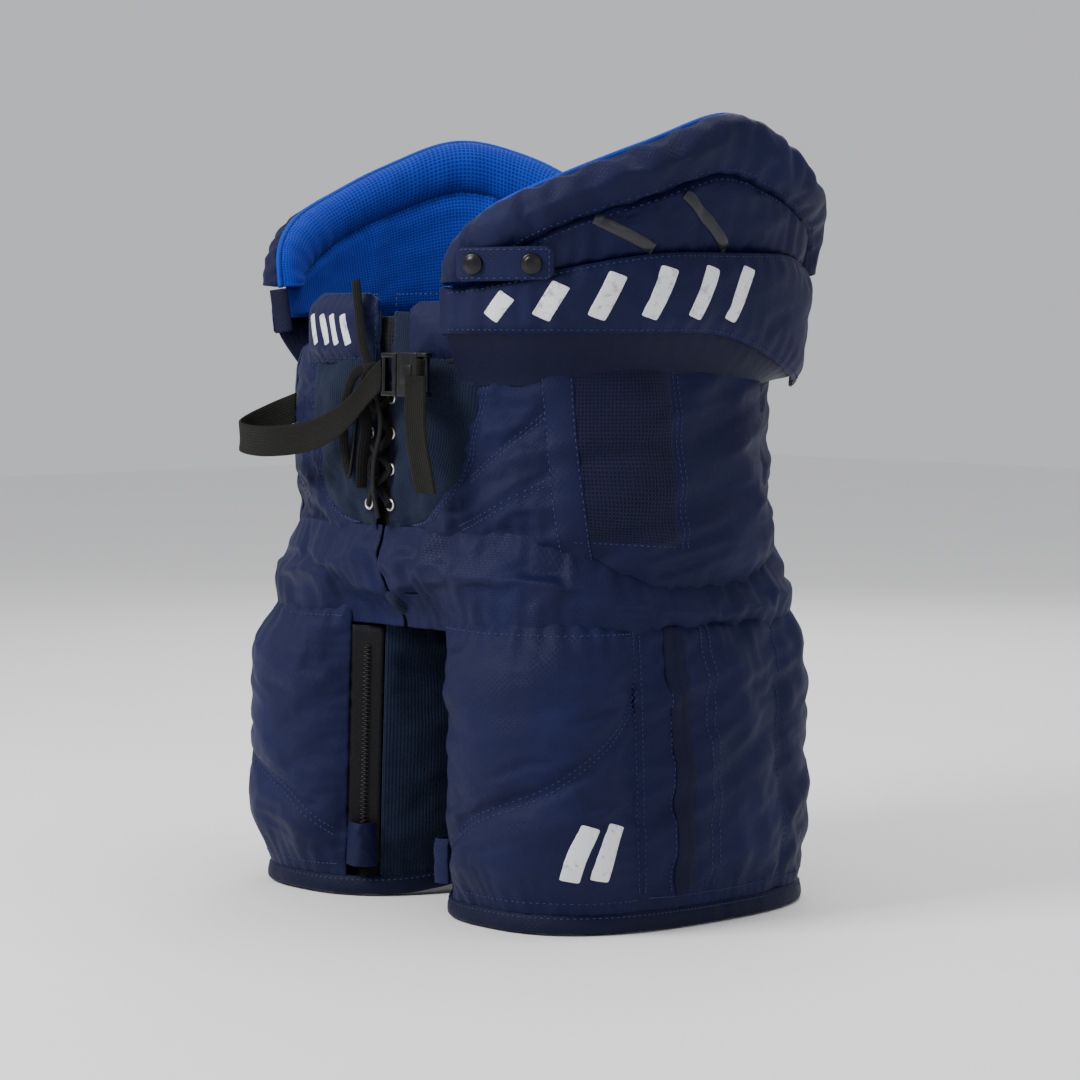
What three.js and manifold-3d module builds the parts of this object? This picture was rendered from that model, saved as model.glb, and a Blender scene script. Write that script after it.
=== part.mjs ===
// Padded ice hockey pants, standing on their hems. Millimetres, +Z up, the wearer faces -Y
// and the wearer's left is +X. The origin is on the floor, under the middle of the box.
// Every shell is a curved slab on one of three rings: the leg, the girdle and the wing.
import * as THREE from "three";
import Module from "manifold-3d";
import { mergeVertices } from "three/addons/utils/BufferGeometryUtils.js";

const wasm = await Module();
wasm.setup();

// ---- Driving sizes ----------------------------------------------------------------------
const LATTICE_DEG = 12; // every slab is faceted on the same rays, so stacked layers stay parallel
const ROUNDNESS = 2.6; // superellipse power of every ring
const FABRIC = 2.4; // woven shell with its backing
const LAYER_GAP = 1.6; // free space between stacked layers
const SEAM_GAP = 0.8; // free space between neighbours in one layer

const HEM = { z: 0, centre: 116, halfWidth: 100, halfDepth: 148 };
const LEG_TOP = { z: 235, centre: 107, halfWidth: 97, halfDepth: 148 };
const HEM_HEIGHT = 24;
const INSEAM_ARCH = 16; // how far the hem rises at the inner thigh
// The girdle takes in both legs, and everything above stands at a height over the legs' tops.
const over = (height) => LEG_TOP.z + height;
const GIRDLE_LOW = {
  z: over(27),
  halfWidth: LEG_TOP.centre + LEG_TOP.halfWidth - 2,
  halfDepth: LEG_TOP.halfDepth + 7,
};
const GIRDLE_TOP = { z: over(255), halfWidth: GIRDLE_LOW.halfWidth - 18, halfDepth: GIRDLE_LOW.halfDepth - 5 };
const WING_LOW = { z: over(191), halfWidth: GIRDLE_TOP.halfWidth + 16, halfDepth: GIRDLE_TOP.halfDepth + 12 };
const WING_TOP = { z: over(387), halfWidth: WING_LOW.halfWidth + 28, halfDepth: WING_LOW.halfDepth + 18 };

const GUARD = 2.5; // moulded plastic plates
const LINER = 4; // quilted lining
const LINING_PAD = 6; // knit-faced foam inside a wing
const WING_PAD = 13; // rolled rim of a wing
const WING_INSET = 10; // flat middle of a wing
const BAND = 4; // padded belt cover
const WEB_WIDTH = 25;
const WEB_THICK = 2;
const LACE_RADIUS = 2;

const ZIP = { angle: 246, low: 44, high: 206, tapeWidth: 24, chainWidth: 5 };
const SLIDER = { width: 10, length: 12, height: 6, channelWidth: 6.4, channelHeight: 2.2 };
const PULL = { width: 4, length: 14, thick: 1.4 };
const FLAP = { low: 26, high: 60, half: 13, rise: 10 };
const TAB = { angle: -63, z: over(274), width: 60, height: 27, thick: 2 };
const SNAP = { radius: 8, height: 3.4, spacing: 36 };
const BUCKLE = { angle: 287, z: over(190), offset: 27, width: WEB_WIDTH + 9, thick: 9, socket: 30, clip: 18, prong: 14, wall: 2.2, play: 0.5 };
const EYELET = { x: 13, radius: 5, hole: 2.7, thick: 2.4, stripMargin: 1.5, first: over(87), spacing: 28, count: 4 };

// ---- Materials --------------------------------------------------------------------------
const finish = (color, roughness, metalness = 0) =>
  new THREE.MeshStandardMaterial({ color, roughness, metalness });
const nylon = finish(0x1c2142, 0.55);
const knit = finish(0x14233d, 0.85);
const lining = finish(0x0a3fb0, 0.9);
const black = finish(0x0c0c0e, 0.8);
const webbing = finish(0x17160f, 0.85);
const plastic = finish(0x15161a, 0.35);
const shield = finish(0xb9bcc2, 0.4);
const foam = finish(0x2a2b30, 0.95);

// ---- Rings ------------------------------------------------------------------------------
const radians = THREE.MathUtils.degToRad;
const mix = THREE.MathUtils.lerp;

// A ring that runs straight from one level's oval to another's.
const ringBetween = (low, high) => (z) => {
  const k = (z - low.z) / (high.z - low.z);
  return {
    centre: mix(low.centre ?? 0, high.centre ?? 0, k),
    a: mix(low.halfWidth, high.halfWidth, k),
    b: mix(low.halfDepth, high.halfDepth, k),
  };
};
const legRing = ringBetween(HEM, LEG_TOP);
const girdleRing = ringBetween(GIRDLE_LOW, GIRDLE_TOP);
const wingRing = ringBetween(WING_LOW, WING_TOP);
// The same ring with its zero degrees turned back from the hip.
const turned = (ring, turn) => (z) => ({ ...ring(z), turn });

// A point on a ring's oval, moved out by offset along the oval's normal.
function ovalPoint(ring, degrees, z, offset) {
  const { centre, a, b, turn = 0 } = ring(z);
  const polar = radians(degrees + turn);
  const [c, s] = [Math.cos(polar), Math.sin(polar)];
  const power = ROUNDNESS;
  const size = (Math.abs(c / a) ** power + Math.abs(s / b) ** power) ** (-1 / power);
  const [x, y] = [c * size, s * size];
  const normal = new THREE.Vector2(
    (Math.sign(x) * Math.abs(x / a) ** (power - 1)) / a,
    (Math.sign(y) * Math.abs(y / b) ** (power - 1)) / b,
  ).normalize();
  return new THREE.Vector3(centre + x + normal.x * offset, y + normal.y * offset, z);
}

// The same point on the flat facet between two rays of the lattice.
function facetPoint(ring, degrees, z, offset) {
  const low = Math.floor(degrees / LATTICE_DEG) * LATTICE_DEG;
  const start = ovalPoint(ring, low, z, offset);
  return start.lerp(ovalPoint(ring, low + LATTICE_DEG, z, offset), (degrees - low) / LATTICE_DEG);
}

// The direction out of the facet at an angle, which is level.
function facetNormal(ring, degrees, z) {
  const low = Math.floor(degrees / LATTICE_DEG) * LATTICE_DEG;
  const along = ovalPoint(ring, low + LATTICE_DEG, z, 0).sub(ovalPoint(ring, low, z, 0)).normalize();
  return new THREE.Vector3(along.y, -along.x, 0);
}

// ---- Slabs ------------------------------------------------------------------------------
const geometryOf = (points, faces) => {
  const made = new THREE.BufferGeometry().setFromPoints(points);
  made.setIndex(faces);
  return made;
};

// A closed slab from two grids of points: inner and outer, [column][row]. A ring of columns closes on itself.
function slabGeometry(inner, outer, isRing = false) {
  const [columns, rows] = [inner.length, inner[0].length];
  const points = [...inner.flat(), ...outer.flat()];
  const at = (layer, i, j) => layer * columns * rows + (i % columns) * rows + j;
  const faces = [];
  const quad = (a, b, c, d) => faces.push(a, b, c, a, c, d);
  const spans = isRing ? columns : columns - 1;
  for (let i = 0; i < spans; i++) {
    for (let j = 0; j < rows - 1; j++) {
      quad(at(1, i, j), at(1, i + 1, j), at(1, i + 1, j + 1), at(1, i, j + 1));
      quad(at(0, i, j), at(0, i, j + 1), at(0, i + 1, j + 1), at(0, i + 1, j));
    }
    quad(at(0, i, 0), at(0, i + 1, 0), at(1, i + 1, 0), at(1, i, 0));
    quad(at(0, i, rows - 1), at(1, i, rows - 1), at(1, i + 1, rows - 1), at(0, i + 1, rows - 1));
  }
  if (!isRing) {
    const last = columns - 1;
    for (let j = 0; j < rows - 1; j++) {
      quad(at(0, 0, j), at(1, 0, j), at(1, 0, j + 1), at(0, 0, j + 1));
      quad(at(0, last, j), at(0, last, j + 1), at(1, last, j + 1), at(1, last, j));
    }
  }
  return geometryOf(points, faces);
}

// The angles of a patch's columns: its two ends, and every ray of the lattice between them.
function columnsBetween(from, to) {
  const angles = [from];
  for (let a = Math.ceil((from + 0.5) / LATTICE_DEG) * LATTICE_DEG; a < to - 0.5; a += LATTICE_DEG) {
    angles.push(a);
  }
  return [...angles, to];
}

const valueAt = (value, x) => (typeof value === "function" ? value(x) : value);

// A patch of one layer: between two angles, two edges (heights, or functions of the angle) and two offsets.
function patch(ring, { from, to, low, high, inner, outer, rows = 3 }) {
  const isRing = to - from >= 360;
  const angles = isRing ? columnsBetween(0, 360 - LATTICE_DEG) : columnsBetween(from, to);
  const grid = (offset) =>
    angles.map((angle, i) =>
      Array.from({ length: rows + 1 }, (_, j) => {
        const z = mix(valueAt(low, angle), valueAt(high, angle), j / rows);
        return facetPoint(ring, angle, z, valueAt(offset, i / (angles.length - 1)));
      }),
    );
  return slabGeometry(grid(inner), grid(outer), isRing);
}

// A strip of one layer between two outlines, each a spline of (angle, height).
function strip(ring, innerLine, outerLine, inner, outer, steps = 16, rows = 2) {
  const grid = (offset) =>
    Array.from({ length: steps + 1 }, (_, i) => {
      const [near, far] = [innerLine.getPoint(i / steps), outerLine.getPoint(i / steps)];
      return Array.from({ length: rows + 1 }, (_, j) => {
        const place = near.clone().lerp(far, j / rows);
        return facetPoint(ring, place.x, place.y, offset);
      });
    });
  return slabGeometry(grid(inner), grid(outer));
}

// A tube of any closed section along a smooth path.
function tube(points, section, stepsEach = 4) {
  const path = new THREE.CatmullRomCurve3(points.map((p) => new THREE.Vector3(...p)));
  return new THREE.ExtrudeGeometry(new THREE.Shape(section), {
    extrudePath: path,
    steps: stepsEach * (points.length - 1),
    bevelEnabled: false,
  });
}

const roundSection = (radius, sides = 8) =>
  Array.from({ length: sides }, (_, i) => {
    const turn = (2 * Math.PI * i) / sides;
    return new THREE.Vector2(radius * Math.cos(turn), radius * Math.sin(turn));
  });

// A flat ribbon along a path, its width held along one direction.
function ribbon(points, width, thick, widthAlong, stepsEach = 3) {
  const path = new THREE.CatmullRomCurve3(points.map((p) => new THREE.Vector3(...p)));
  const steps = stepsEach * (points.length - 1);
  const grid = (side) =>
    Array.from({ length: steps + 1 }, (_, i) => {
      const across = path.getTangent(i / steps).cross(widthAlong).normalize();
      const place = path.getPoint(i / steps).addScaledVector(across, (side * thick) / 2);
      return [-width / 2, width / 2].map((rise) => place.clone().addScaledVector(widthAlong, rise));
    });
  return slabGeometry(grid(-1), grid(1));
}

// ---- Booleans ---------------------------------------------------------------------------
function solidOf(geometry) {
  const bare = geometry.clone();
  bare.deleteAttribute("normal");
  bare.deleteAttribute("uv");
  const merged = mergeVertices(bare);
  return new wasm.Manifold(
    new wasm.Mesh({
      numProp: 3,
      vertProperties: merged.attributes.position.array,
      triVerts: new Uint32Array(merged.index.array),
    }),
  );
}

function geometryFrom(solid) {
  const mesh = solid.getMesh();
  return new THREE.BufferGeometry()
    .setAttribute("position", new THREE.BufferAttribute(new Float32Array(mesh.vertProperties), 3))
    .setIndex(new THREE.BufferAttribute(new Uint32Array(mesh.triVerts), 1));
}

const boxAt = (sizeX, sizeY, sizeZ, x = 0, y = 0, z = 0) =>
  new THREE.BoxGeometry(sizeX, sizeY, sizeZ).translate(x, y, z);

// The same geometry on the other side of the body.
function mirrored(geometry) {
  const flipped = (geometry.index ? geometry : mergeVertices(geometry)).clone();
  flipped.applyMatrix4(new THREE.Matrix4().makeScale(-1, 1, 1));
  const order = Array.from(flipped.index.array).reverse();
  return flipped.setIndex(order);
}

// ---- The object -------------------------------------------------------------------------
const pants = new THREE.Group();
const place = (name, geometry, material) => {
  const mesh = new THREE.Mesh(geometry, material);
  mesh.name = name;
  pants.add(mesh);
};
// A piece of one side, drawn on the left.
const placeOn = (side, name, geometry, material) =>
  place(`${side}_${name}`, side === "left" ? geometry : mirrored(geometry), material);

// Axes on a ring's facet: x across, y straight out, z up the surface.
function surfaceFrame(ring, angle, z, offset = 0) {
  const origin = facetPoint(ring, angle, z, offset);
  const up = facetPoint(ring, angle, z + 1, offset).sub(origin).normalize();
  const out = facetNormal(ring, angle, z);
  out.addScaledVector(up, -out.dot(up)).normalize();
  return new THREE.Matrix4().makeBasis(new THREE.Vector3().crossVectors(out, up), out, up).setPosition(origin);
}

// The hem's lower edge: flat on the floor, arched at the inner thigh (180 degrees).
const hemEdge = (angle) => {
  const fromInner = Math.abs((((angle % 360) + 360) % 360) - 180);
  return fromInner > 60 ? 0 : INSEAM_ARCH * 0.5 * (1 + Math.cos(radians(fromInner * 3)));
};
const hemTop = (angle) => hemEdge(angle) + HEM_HEIGHT;

// Angles on a leg where the panels meet. 0 is the outer side, 90 the back, 180 inner, 270 the front.
const LEG_SEAM = { gussetBack: 144, zipBack: 240.5, zipFront: 251.5, frontOuter: 322, outerBack: 360 + 144 };
const seamGapDeg = (ring, z) => (SEAM_GAP / 2 / ring(z).b) * (180 / Math.PI);
const HALF_SEAM = seamGapDeg(legRing, 100);

function addLeg(side) {
  const panel = (name, from, to, material, more = {}) =>
    placeOn(
      side,
      name,
      patch(legRing, {
        from: from + HALF_SEAM,
        to: to - HALF_SEAM,
        low: (angle) => hemTop(angle) + SEAM_GAP,
        high: LEG_TOP.z,
        inner: -FABRIC,
        outer: 0,
        ...more,
      }),
      material,
    );
  panel("thigh_pad", LEG_SEAM.zipFront, LEG_SEAM.frontOuter, nylon);
  panel("outer_panel", LEG_SEAM.frontOuter, LEG_SEAM.outerBack, nylon);
  panel("inner_gusset", LEG_SEAM.gussetBack, LEG_SEAM.zipBack, knit);
  const hem = { from: 0, to: 360, low: hemEdge, high: hemTop, inner: -4.5, outer: 1.2, rows: 1 };
  placeOn(side, "hem_band", patch(legRing, hem), nylon);
  const guardOut = -FABRIC - LAYER_GAP;
  const guard = { low: 36, high: LEG_TOP.z - 6, inner: guardOut - GUARD, outer: guardOut };
  panel("thigh_guard", LEG_SEAM.zipFront + 4, LEG_SEAM.frontOuter + 16, shield, guard);
  const linerOut = guardOut - GUARD - LAYER_GAP;
  const liner = { inner: linerOut - LINER, outer: linerOut, rows: 2 };
  panel("leg_liner", -HALF_SEAM, 360 + HALF_SEAM, black, liner);
}

function addZip(side) {
  const inZip = (name, z, geometry, material) =>
    placeOn(side, name, geometry.applyMatrix4(surfaceFrame(legRing, ZIP.angle, z)), material);
  const length = ZIP.high - ZIP.low;
  const tape = solidOf(boxAt(ZIP.tapeWidth, 1.4, length, 0, -1.2)).add(
    solidOf(boxAt(ZIP.chainWidth, 1.6, length, 0, 0)),
  );
  inZip("zip_tape", (ZIP.high + ZIP.low) / 2, geometryFrom(tape), black);

  const rest = ZIP.low + SLIDER.length / 2 + 1;
  const foot = 0.3; // free height under the slider's cheeks
  const channel = boxAt(SLIDER.channelWidth, SLIDER.channelHeight, SLIDER.length + 2, 0, SLIDER.channelHeight / 2);
  const body = boxAt(SLIDER.width, SLIDER.height, SLIDER.length, 0, foot + SLIDER.height / 2);
  inZip("zip_slider", rest, geometryFrom(solidOf(body).subtract(solidOf(channel))), plastic);
  const pullOut = foot + SLIDER.height + 0.4 + PULL.thick / 2;
  inZip("zip_pull", rest, boxAt(PULL.width, PULL.thick, PULL.length, 0, pullOut, 3 - PULL.length / 2), plastic);

  // The garage: a short arched flap over the parked slider, sewn along its front edge.
  const steps = 6;
  const arch = (offset) =>
    Array.from({ length: steps + 1 }, (_, i) => {
      const rise = 3 + FLAP.rise * Math.sin((Math.PI * i) / steps) + offset;
      return [0, FLAP.high - FLAP.low].map((z) => new THREE.Vector3(FLAP.half * (1 - (2 * i) / steps), rise, z));
    });
  inZip("zip_flap", FLAP.low, slabGeometry(arch(0), arch(FABRIC)), nylon);
}

// ---- Girdle -----------------------------------------------------------------------------
const FRONT = 270;
const GIRDLE_SEAM = { facing: FRONT + 38, back: 360 + 60 };
// The girdle's lower edge: low at the sides, high over the front and back folds.
const FOLD_LIFT = 42;
const girdleEdge = (angle) =>
  GIRDLE_LOW.z + FOLD_LIFT * THREE.MathUtils.smoothstep(Math.abs(Math.sin(radians(angle))), 0.15, 0.75);
const HIP_TOP = over(211);
const SEAT_TOP = over(235);

function addGirdleSide(side) {
  const panel = (name, more, material) =>
    placeOn(side, name, patch(girdleRing, { low: girdleEdge, inner: -FABRIC, outer: 0, ...more }), material);
  const { facing, back } = GIRDLE_SEAM;
  panel("hip_panel", { from: facing + HALF_SEAM, to: back - HALF_SEAM, high: HIP_TOP }, nylon);
  panel("facing", { from: FRONT + 3, to: facing - HALF_SEAM, high: GIRDLE_TOP.z }, nylon);
  const guardOut = -FABRIC - LAYER_GAP;
  const guardLow = (angle) => girdleEdge(angle) + 12;
  const guard = { from: 318, to: 402, low: guardLow, high: HIP_TOP - 10, inner: guardOut - GUARD, outer: guardOut };
  panel("hip_guard", guard, shield);
  panel("waist_panel", { from: FRONT + 3, to: FRONT + 42, low: over(197), high: GIRDLE_TOP.z - 2, inner: 1, outer: 5, rows: 1 }, nylon);
  // Loose fabric between the leg and the girdle.
  const fold = { from: FRONT + 0.5, to: 449.5, low: LEG_TOP.z + 1.5, high: (angle) => girdleEdge(angle) - 1.5, rows: 2 };
  panel("fold_panel", fold, nylon);

  // Four rings pressed into a flat strip beside the opening.
  const height = EYELET.spacing * (EYELET.count - 1) + 20;
  const middle = EYELET.first + (EYELET.spacing * (EYELET.count - 1)) / 2;
  const disc = (radius, thick, i) =>
    new THREE.CylinderGeometry(radius, radius, thick, 12).translate(
      EYELET.x,
      1.7,
      EYELET.spacing * (i - (EYELET.count - 1) / 2),
    );
  let rings = solidOf(boxAt(2 * (EYELET.radius + EYELET.stripMargin), 1.2, height, EYELET.x + 1, 1.7));
  for (let i = 0; i < EYELET.count; i++) {
    rings = rings.add(solidOf(disc(EYELET.radius, EYELET.thick, i)));
  }
  for (let i = 0; i < EYELET.count; i++) {
    rings = rings.subtract(solidOf(disc(EYELET.hole, 4, i)));
  }
  const strip = geometryFrom(rings).applyMatrix4(surfaceFrame(girdleRing, FRONT, middle));
  placeOn(side, "eyelet_strip", strip, black);
}

function addGirdleCentre() {
  const inside = -FABRIC - LAYER_GAP;
  const panel = (name, more, material) => place(name, patch(girdleRing, { rows: 2, ...more }), material);
  panel("tongue", { from: FRONT - 11, to: FRONT + 11, low: over(71), high: SEAT_TOP, inner: inside - 4, outer: inside }, knit);
  const [from, to] = [60 + HALF_SEAM, 120 - HALF_SEAM];
  panel("seat_panel", { from, to, low: girdleEdge, high: SEAT_TOP, inner: -FABRIC, outer: 0, rows: 3 }, nylon);
  panel("tailbone_guard", { from: 76, to: 104, low: over(85), high: over(205), inner: inside - GUARD, outer: inside }, shield);

  const saddle = (lift) =>
    [-2, -1, 0, 1, 2].map((step) => (step / 2) * (LEG_TOP.halfDepth - 6)).map((y) => [30, 15, 0, -15, -30].map((x) => new THREE.Vector3(x, y, over(3) + lift)));
  place("crotch_gusset", slabGeometry(saddle(0), saddle(FABRIC)), knit);

  // The lace: two halves crossing up the fly, and the bow.
  const fly = (z) => -girdleRing(z).b;
  const crossing = (start, rise) => {
    const points = [];
    for (let i = 0; i < EYELET.count; i++) {
      const z = EYELET.first + EYELET.spacing * i;
      points.push([(i % 2 ? -1 : 1) * start * EYELET.x, fly(z) - 6.5, z]);
      if (i < EYELET.count - 1) points.push([0, fly(z) - rise, z + EYELET.spacing / 2]);
    }
    return tube(points, roundSection(LACE_RADIUS));
  };
  place("lace_a", crossing(1, 6.5), black);
  place("lace_b", crossing(-1, 11.5), black);
  const knotAt = [-4, fly(over(190)) - 12, over(193)];
  const loop = tube(
    [knotAt, [-20, knotAt[1] - 3, over(189)], [-28, knotAt[1] - 4, over(163)], [-30, knotAt[1] - 2, over(131)], [-24, knotAt[1] - 1, over(117)], [-18, knotAt[1] - 3, over(131)], [-14, knotAt[1] - 2, over(165)], knotAt],
    roundSection(LACE_RADIUS),
  );
  const tail = tube([knotAt, [-14, knotAt[1] - 2, over(211)], [-20, knotAt[1], over(235)], [-22, knotAt[1] + 1, over(261)]], roundSection(LACE_RADIUS));
  const knot = new THREE.SphereGeometry(7, 10, 8).scale(1.2, 0.7, 0.8).translate(...knotAt);
  place("lace_bow", geometryFrom(solidOf(knot).add(solidOf(loop)).add(solidOf(tail))), black);
}

// The belt: webbing from the right hip across the fly into a side-release buckle.
function addBelt() {
  const frame = surfaceFrame(girdleRing, BUCKLE.angle, BUCKLE.z, BUCKLE.offset).multiply(
    new THREE.Matrix4().makeRotationZ(Math.PI),
  );
  const { width, thick, socket, clip, prong, wall, play } = BUCKLE;
  const inFrame = (name, solid) => place(name, geometryFrom(solid).applyMatrix4(frame), plastic);
  // Along the buckle +X runs toward the left hip; the clip enters from -X.
  const mouth = boxAt(prong + 3, thick - 2 * wall, width - 2 * wall, (prong + 3) / 2 - 1, 0, 0);
  const slot = boxAt(4, thick + 2, WEB_WIDTH + 1, socket - 6, 0, 0);
  inFrame("buckle_socket", solidOf(boxAt(socket, thick, width, socket / 2)).subtract(solidOf(mouth)).subtract(solidOf(slot)));
  const fork = boxAt(prong, thick - 2 * wall - 2 * play, width - 2 * wall - 2 * play, prong / 2 - 0.5, 0, 0);
  const handle = boxAt(clip, thick, width, -clip / 2 - play, 0, 0);
  const clipSlot = boxAt(4, thick + 2, WEB_WIDTH + 1, -clip + 4, 0, 0);
  inFrame("buckle_clip", solidOf(handle).add(solidOf(fork)).subtract(solidOf(clipSlot)));

  const up = new THREE.Vector3(0, 0, 1);
  const end = new THREE.Vector3(-clip - play - 2, 0, 0).applyMatrix4(frame);
  const belt = [
    [-138, -134, over(160)],
    [-158, -142, over(152)],
    [-171, -158, over(142)],
    [-158, -176, over(136)],
    [-112, -184, over(134)],
    [-58, -182, over(140)],
    [-16, -181, over(156)],
    [end.x - 14, end.y - 1, BUCKLE.z - 10],
    [end.x, end.y, BUCKLE.z],
  ];
  place("belt_strap", ribbon(belt, WEB_WIDTH, WEB_THICK, up, 3), webbing);
  const low = new THREE.Vector3(socket - 6, -thick / 2 - 2.5, -width / 2 + 6).applyMatrix4(frame);
  const tail = [
    [low.x, low.y, low.z],
    [low.x + 4, low.y - 2, low.z - 34],
    [low.x + 10, low.y + 3, low.z - 80],
  ];
  place("belt_tail", ribbon(tail, WEB_WIDTH, WEB_THICK, new THREE.Vector3(1, 0, 0), 3), webbing);
}

// ---- Wings and back pad -----------------------------------------------------------------
const outline = (...pairs) =>
  new THREE.SplineCurve(pairs.map(([angle, height]) => new THREE.Vector2(angle, over(height))));
// The waist sits twisted on the legs, so the wings don't start at the same place.
const WING = { front: -78, back: 24, turn: { left: 18, right: 48 } };
const RIM_OUTER = outline(
  [WING.front, 259], [-76, 288], [-67, 316], [-54, 339], [-38, 365],
  [-22, 387], [-8, 375], [6, 347], [18, 313], [WING.back, 267],
);
const RIM_INNER = outline(
  [-70, 263], [-68, 269], [-62, 284], [-52, 303], [-38, 323],
  [-22, 342], [-9, 330], [2, 313], [12, 296], [18, 268],
);
const BACK_PAD = { from: 47, to: 103, low: over(211), side: over(312), rise: 58 };
const bandLow = (angle) => mix(over(221), over(177), THREE.MathUtils.smoothstep(angle, -25, WING.back));
const bandTop = (angle) =>
  over(256) + 28 * THREE.MathUtils.smoothstep(angle, WING.front, -30) - 22 * THREE.MathUtils.smoothstep(angle, -5, WING.back);

// The height of an outline over an angle.
const heightOn = (line) => (angle) => {
  const points = line.getPoints(80);
  const next = points.findIndex((p) => p.x >= angle);
  if (next === 0) return points[0].y;
  if (next < 0) return points[points.length - 1].y;
  const [p, q] = [points[next - 1], points[next]];
  return mix(p.y, q.y, (angle - p.x) / (q.x - p.x));
};

const PAD_IN = LINING_PAD + LAYER_GAP;

function addWing(side) {
  const ring = turned(wingRing, WING.turn[side]);
  const panel = (name, more, material) =>
    placeOn(side, name, patch(ring, { from: WING.front, to: WING.back, ...more }), material);
  const rimHeight = heightOn(RIM_OUTER);
  const insetHeight = heightOn(RIM_INNER);
  panel("wing_lining", { low: bandLow, high: (angle) => rimHeight(angle) - 1, inner: 0, outer: LINING_PAD }, lining);
  const rimIn = PAD_IN + 3; // the rim is faceted on its own steps, so it stands clear of the lining
  placeOn(side, "wing_rim", strip(ring, RIM_INNER, RIM_OUTER, rimIn, rimIn + WING_PAD), nylon);
  const insetLow = (angle) => bandTop(angle) + SEAM_GAP;
  const insetTop = (angle) => Math.max(insetHeight(angle) - 3, insetLow(angle) + 2);
  const inset = { from: -67, to: 16, low: insetLow, high: insetTop, inner: PAD_IN, outer: PAD_IN + WING_INSET, rows: 2 };
  panel("wing_inset", inset, nylon);
  const bandIn = PAD_IN + WING_PAD;
  const band = { low: bandLow, high: (angle) => bandTop(angle) - 1.5, inner: bandIn, outer: bandIn + BAND, rows: 2 };
  panel("belt_band", band, nylon);

  // The snap tab lies flat over the rim's front corner.
  const frame = surfaceFrame(ring, TAB.angle, TAB.z, PAD_IN + WING_PAD + 5);
  const inTab = (name, geometry, material) => placeOn(side, name, geometry.applyMatrix4(frame), material);
  inTab("snap_tab", boxAt(TAB.width, TAB.thick, TAB.height, 0, TAB.thick / 2), nylon);
  [-1, 1].forEach((end, i) => {
    const cap = new THREE.CylinderGeometry(SNAP.radius * 0.8, SNAP.radius, SNAP.height, 16);
    inTab(`snap_cap_${i + 1}`, cap.translate((end * SNAP.spacing) / 2, TAB.thick + 0.4 + SNAP.height / 2, 0), plastic);
  });
}

function addBackPad() {
  const { from, to, low, side, rise } = BACK_PAD;
  const top = (angle) => side + rise * THREE.MathUtils.smoothstep(1 - Math.abs(angle - (from + to) / 2) / 29, 0, 0.8);
  const panel = (name, more, material) => place(name, patch(wingRing, { from, to, low, high: top, ...more }), material);
  panel("back_pad", { inner: PAD_IN, outer: PAD_IN + WING_PAD }, nylon);
  panel("back_lining", { inner: 0, outer: LINING_PAD }, lining);
}

for (const side of ["left", "right"]) {
  addLeg(side);
  addZip(side);
  addGirdleSide(side);
  addWing(side);
}
addGirdleCentre();
addBelt();
addBackPad();

// Stand the origin under the middle of the box.
const middle = new THREE.Box3().setFromObject(pants).getCenter(new THREE.Vector3());
pants.position.y = -middle.y;

export default pants;
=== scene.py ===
"""Padded ice hockey pants standing on their hems.

Metres, +Z up; the wearer faces -Y and the wearer's left is +X. A place on a ring is
(degrees round it, height), with 270 degrees straight ahead. The right side mirrors the left by
side = -1.
"""
import math

import bmesh
import bpy
from mathutils import Matrix, Vector, noise
from mathutils.bvhtree import BVHTree
from mathutils.kdtree import KDTree


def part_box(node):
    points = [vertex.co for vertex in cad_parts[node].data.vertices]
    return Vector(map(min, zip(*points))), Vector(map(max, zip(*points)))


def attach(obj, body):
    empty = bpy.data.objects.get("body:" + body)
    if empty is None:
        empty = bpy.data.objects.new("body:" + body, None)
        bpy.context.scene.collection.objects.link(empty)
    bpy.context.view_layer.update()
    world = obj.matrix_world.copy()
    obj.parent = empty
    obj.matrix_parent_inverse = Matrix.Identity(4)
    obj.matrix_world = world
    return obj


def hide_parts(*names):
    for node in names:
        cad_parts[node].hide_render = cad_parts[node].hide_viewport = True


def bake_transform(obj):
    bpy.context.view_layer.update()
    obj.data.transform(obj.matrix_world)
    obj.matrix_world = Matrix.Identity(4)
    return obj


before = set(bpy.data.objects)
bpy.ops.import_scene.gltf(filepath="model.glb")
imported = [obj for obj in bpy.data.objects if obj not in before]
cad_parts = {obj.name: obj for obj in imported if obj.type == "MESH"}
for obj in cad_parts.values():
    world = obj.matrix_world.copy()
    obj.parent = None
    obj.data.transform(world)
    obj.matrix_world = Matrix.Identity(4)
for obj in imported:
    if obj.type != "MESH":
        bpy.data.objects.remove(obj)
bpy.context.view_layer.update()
scene = bpy.context.scene

# ---- Camera ------------------------------------------------------------------------------
CAMERA_TURN = math.radians(48)  # from straight ahead of the wearer toward the wearer's left
CAMERA_RISE = math.radians(4)
CAMERA_DISTANCE = 2.70
CAMERA_LENS_MM, SENSOR_MM = 109.5, 36
AIM = Vector((0.002, 0.003, 0.286))


def place_camera():
    data = bpy.data.cameras.new("camera")
    data.lens = CAMERA_LENS_MM
    data.sensor_width = SENSOR_MM
    data.clip_start = 0.01
    camera = bpy.data.objects.new("camera", data)
    scene.collection.objects.link(camera)
    level = math.cos(CAMERA_RISE)
    way = Vector((math.sin(CAMERA_TURN) * level, -math.cos(CAMERA_TURN) * level, math.sin(CAMERA_RISE)))
    camera.location = AIM + way * CAMERA_DISTANCE
    camera.rotation_euler = (-way).to_track_quat("-Z", "Y").to_euler()
    scene.camera = camera


place_camera()

# ---- Rings -------------------------------------------------------------------------------
# The ovals that every piece lies on, from the sizes that the frame was built with.
ROUNDNESS = 2.6
_low, _high = (Vector(corner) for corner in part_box("left_hem_band"))
SHIFT_Y = (_low.y + _high.y) / 2


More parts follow.
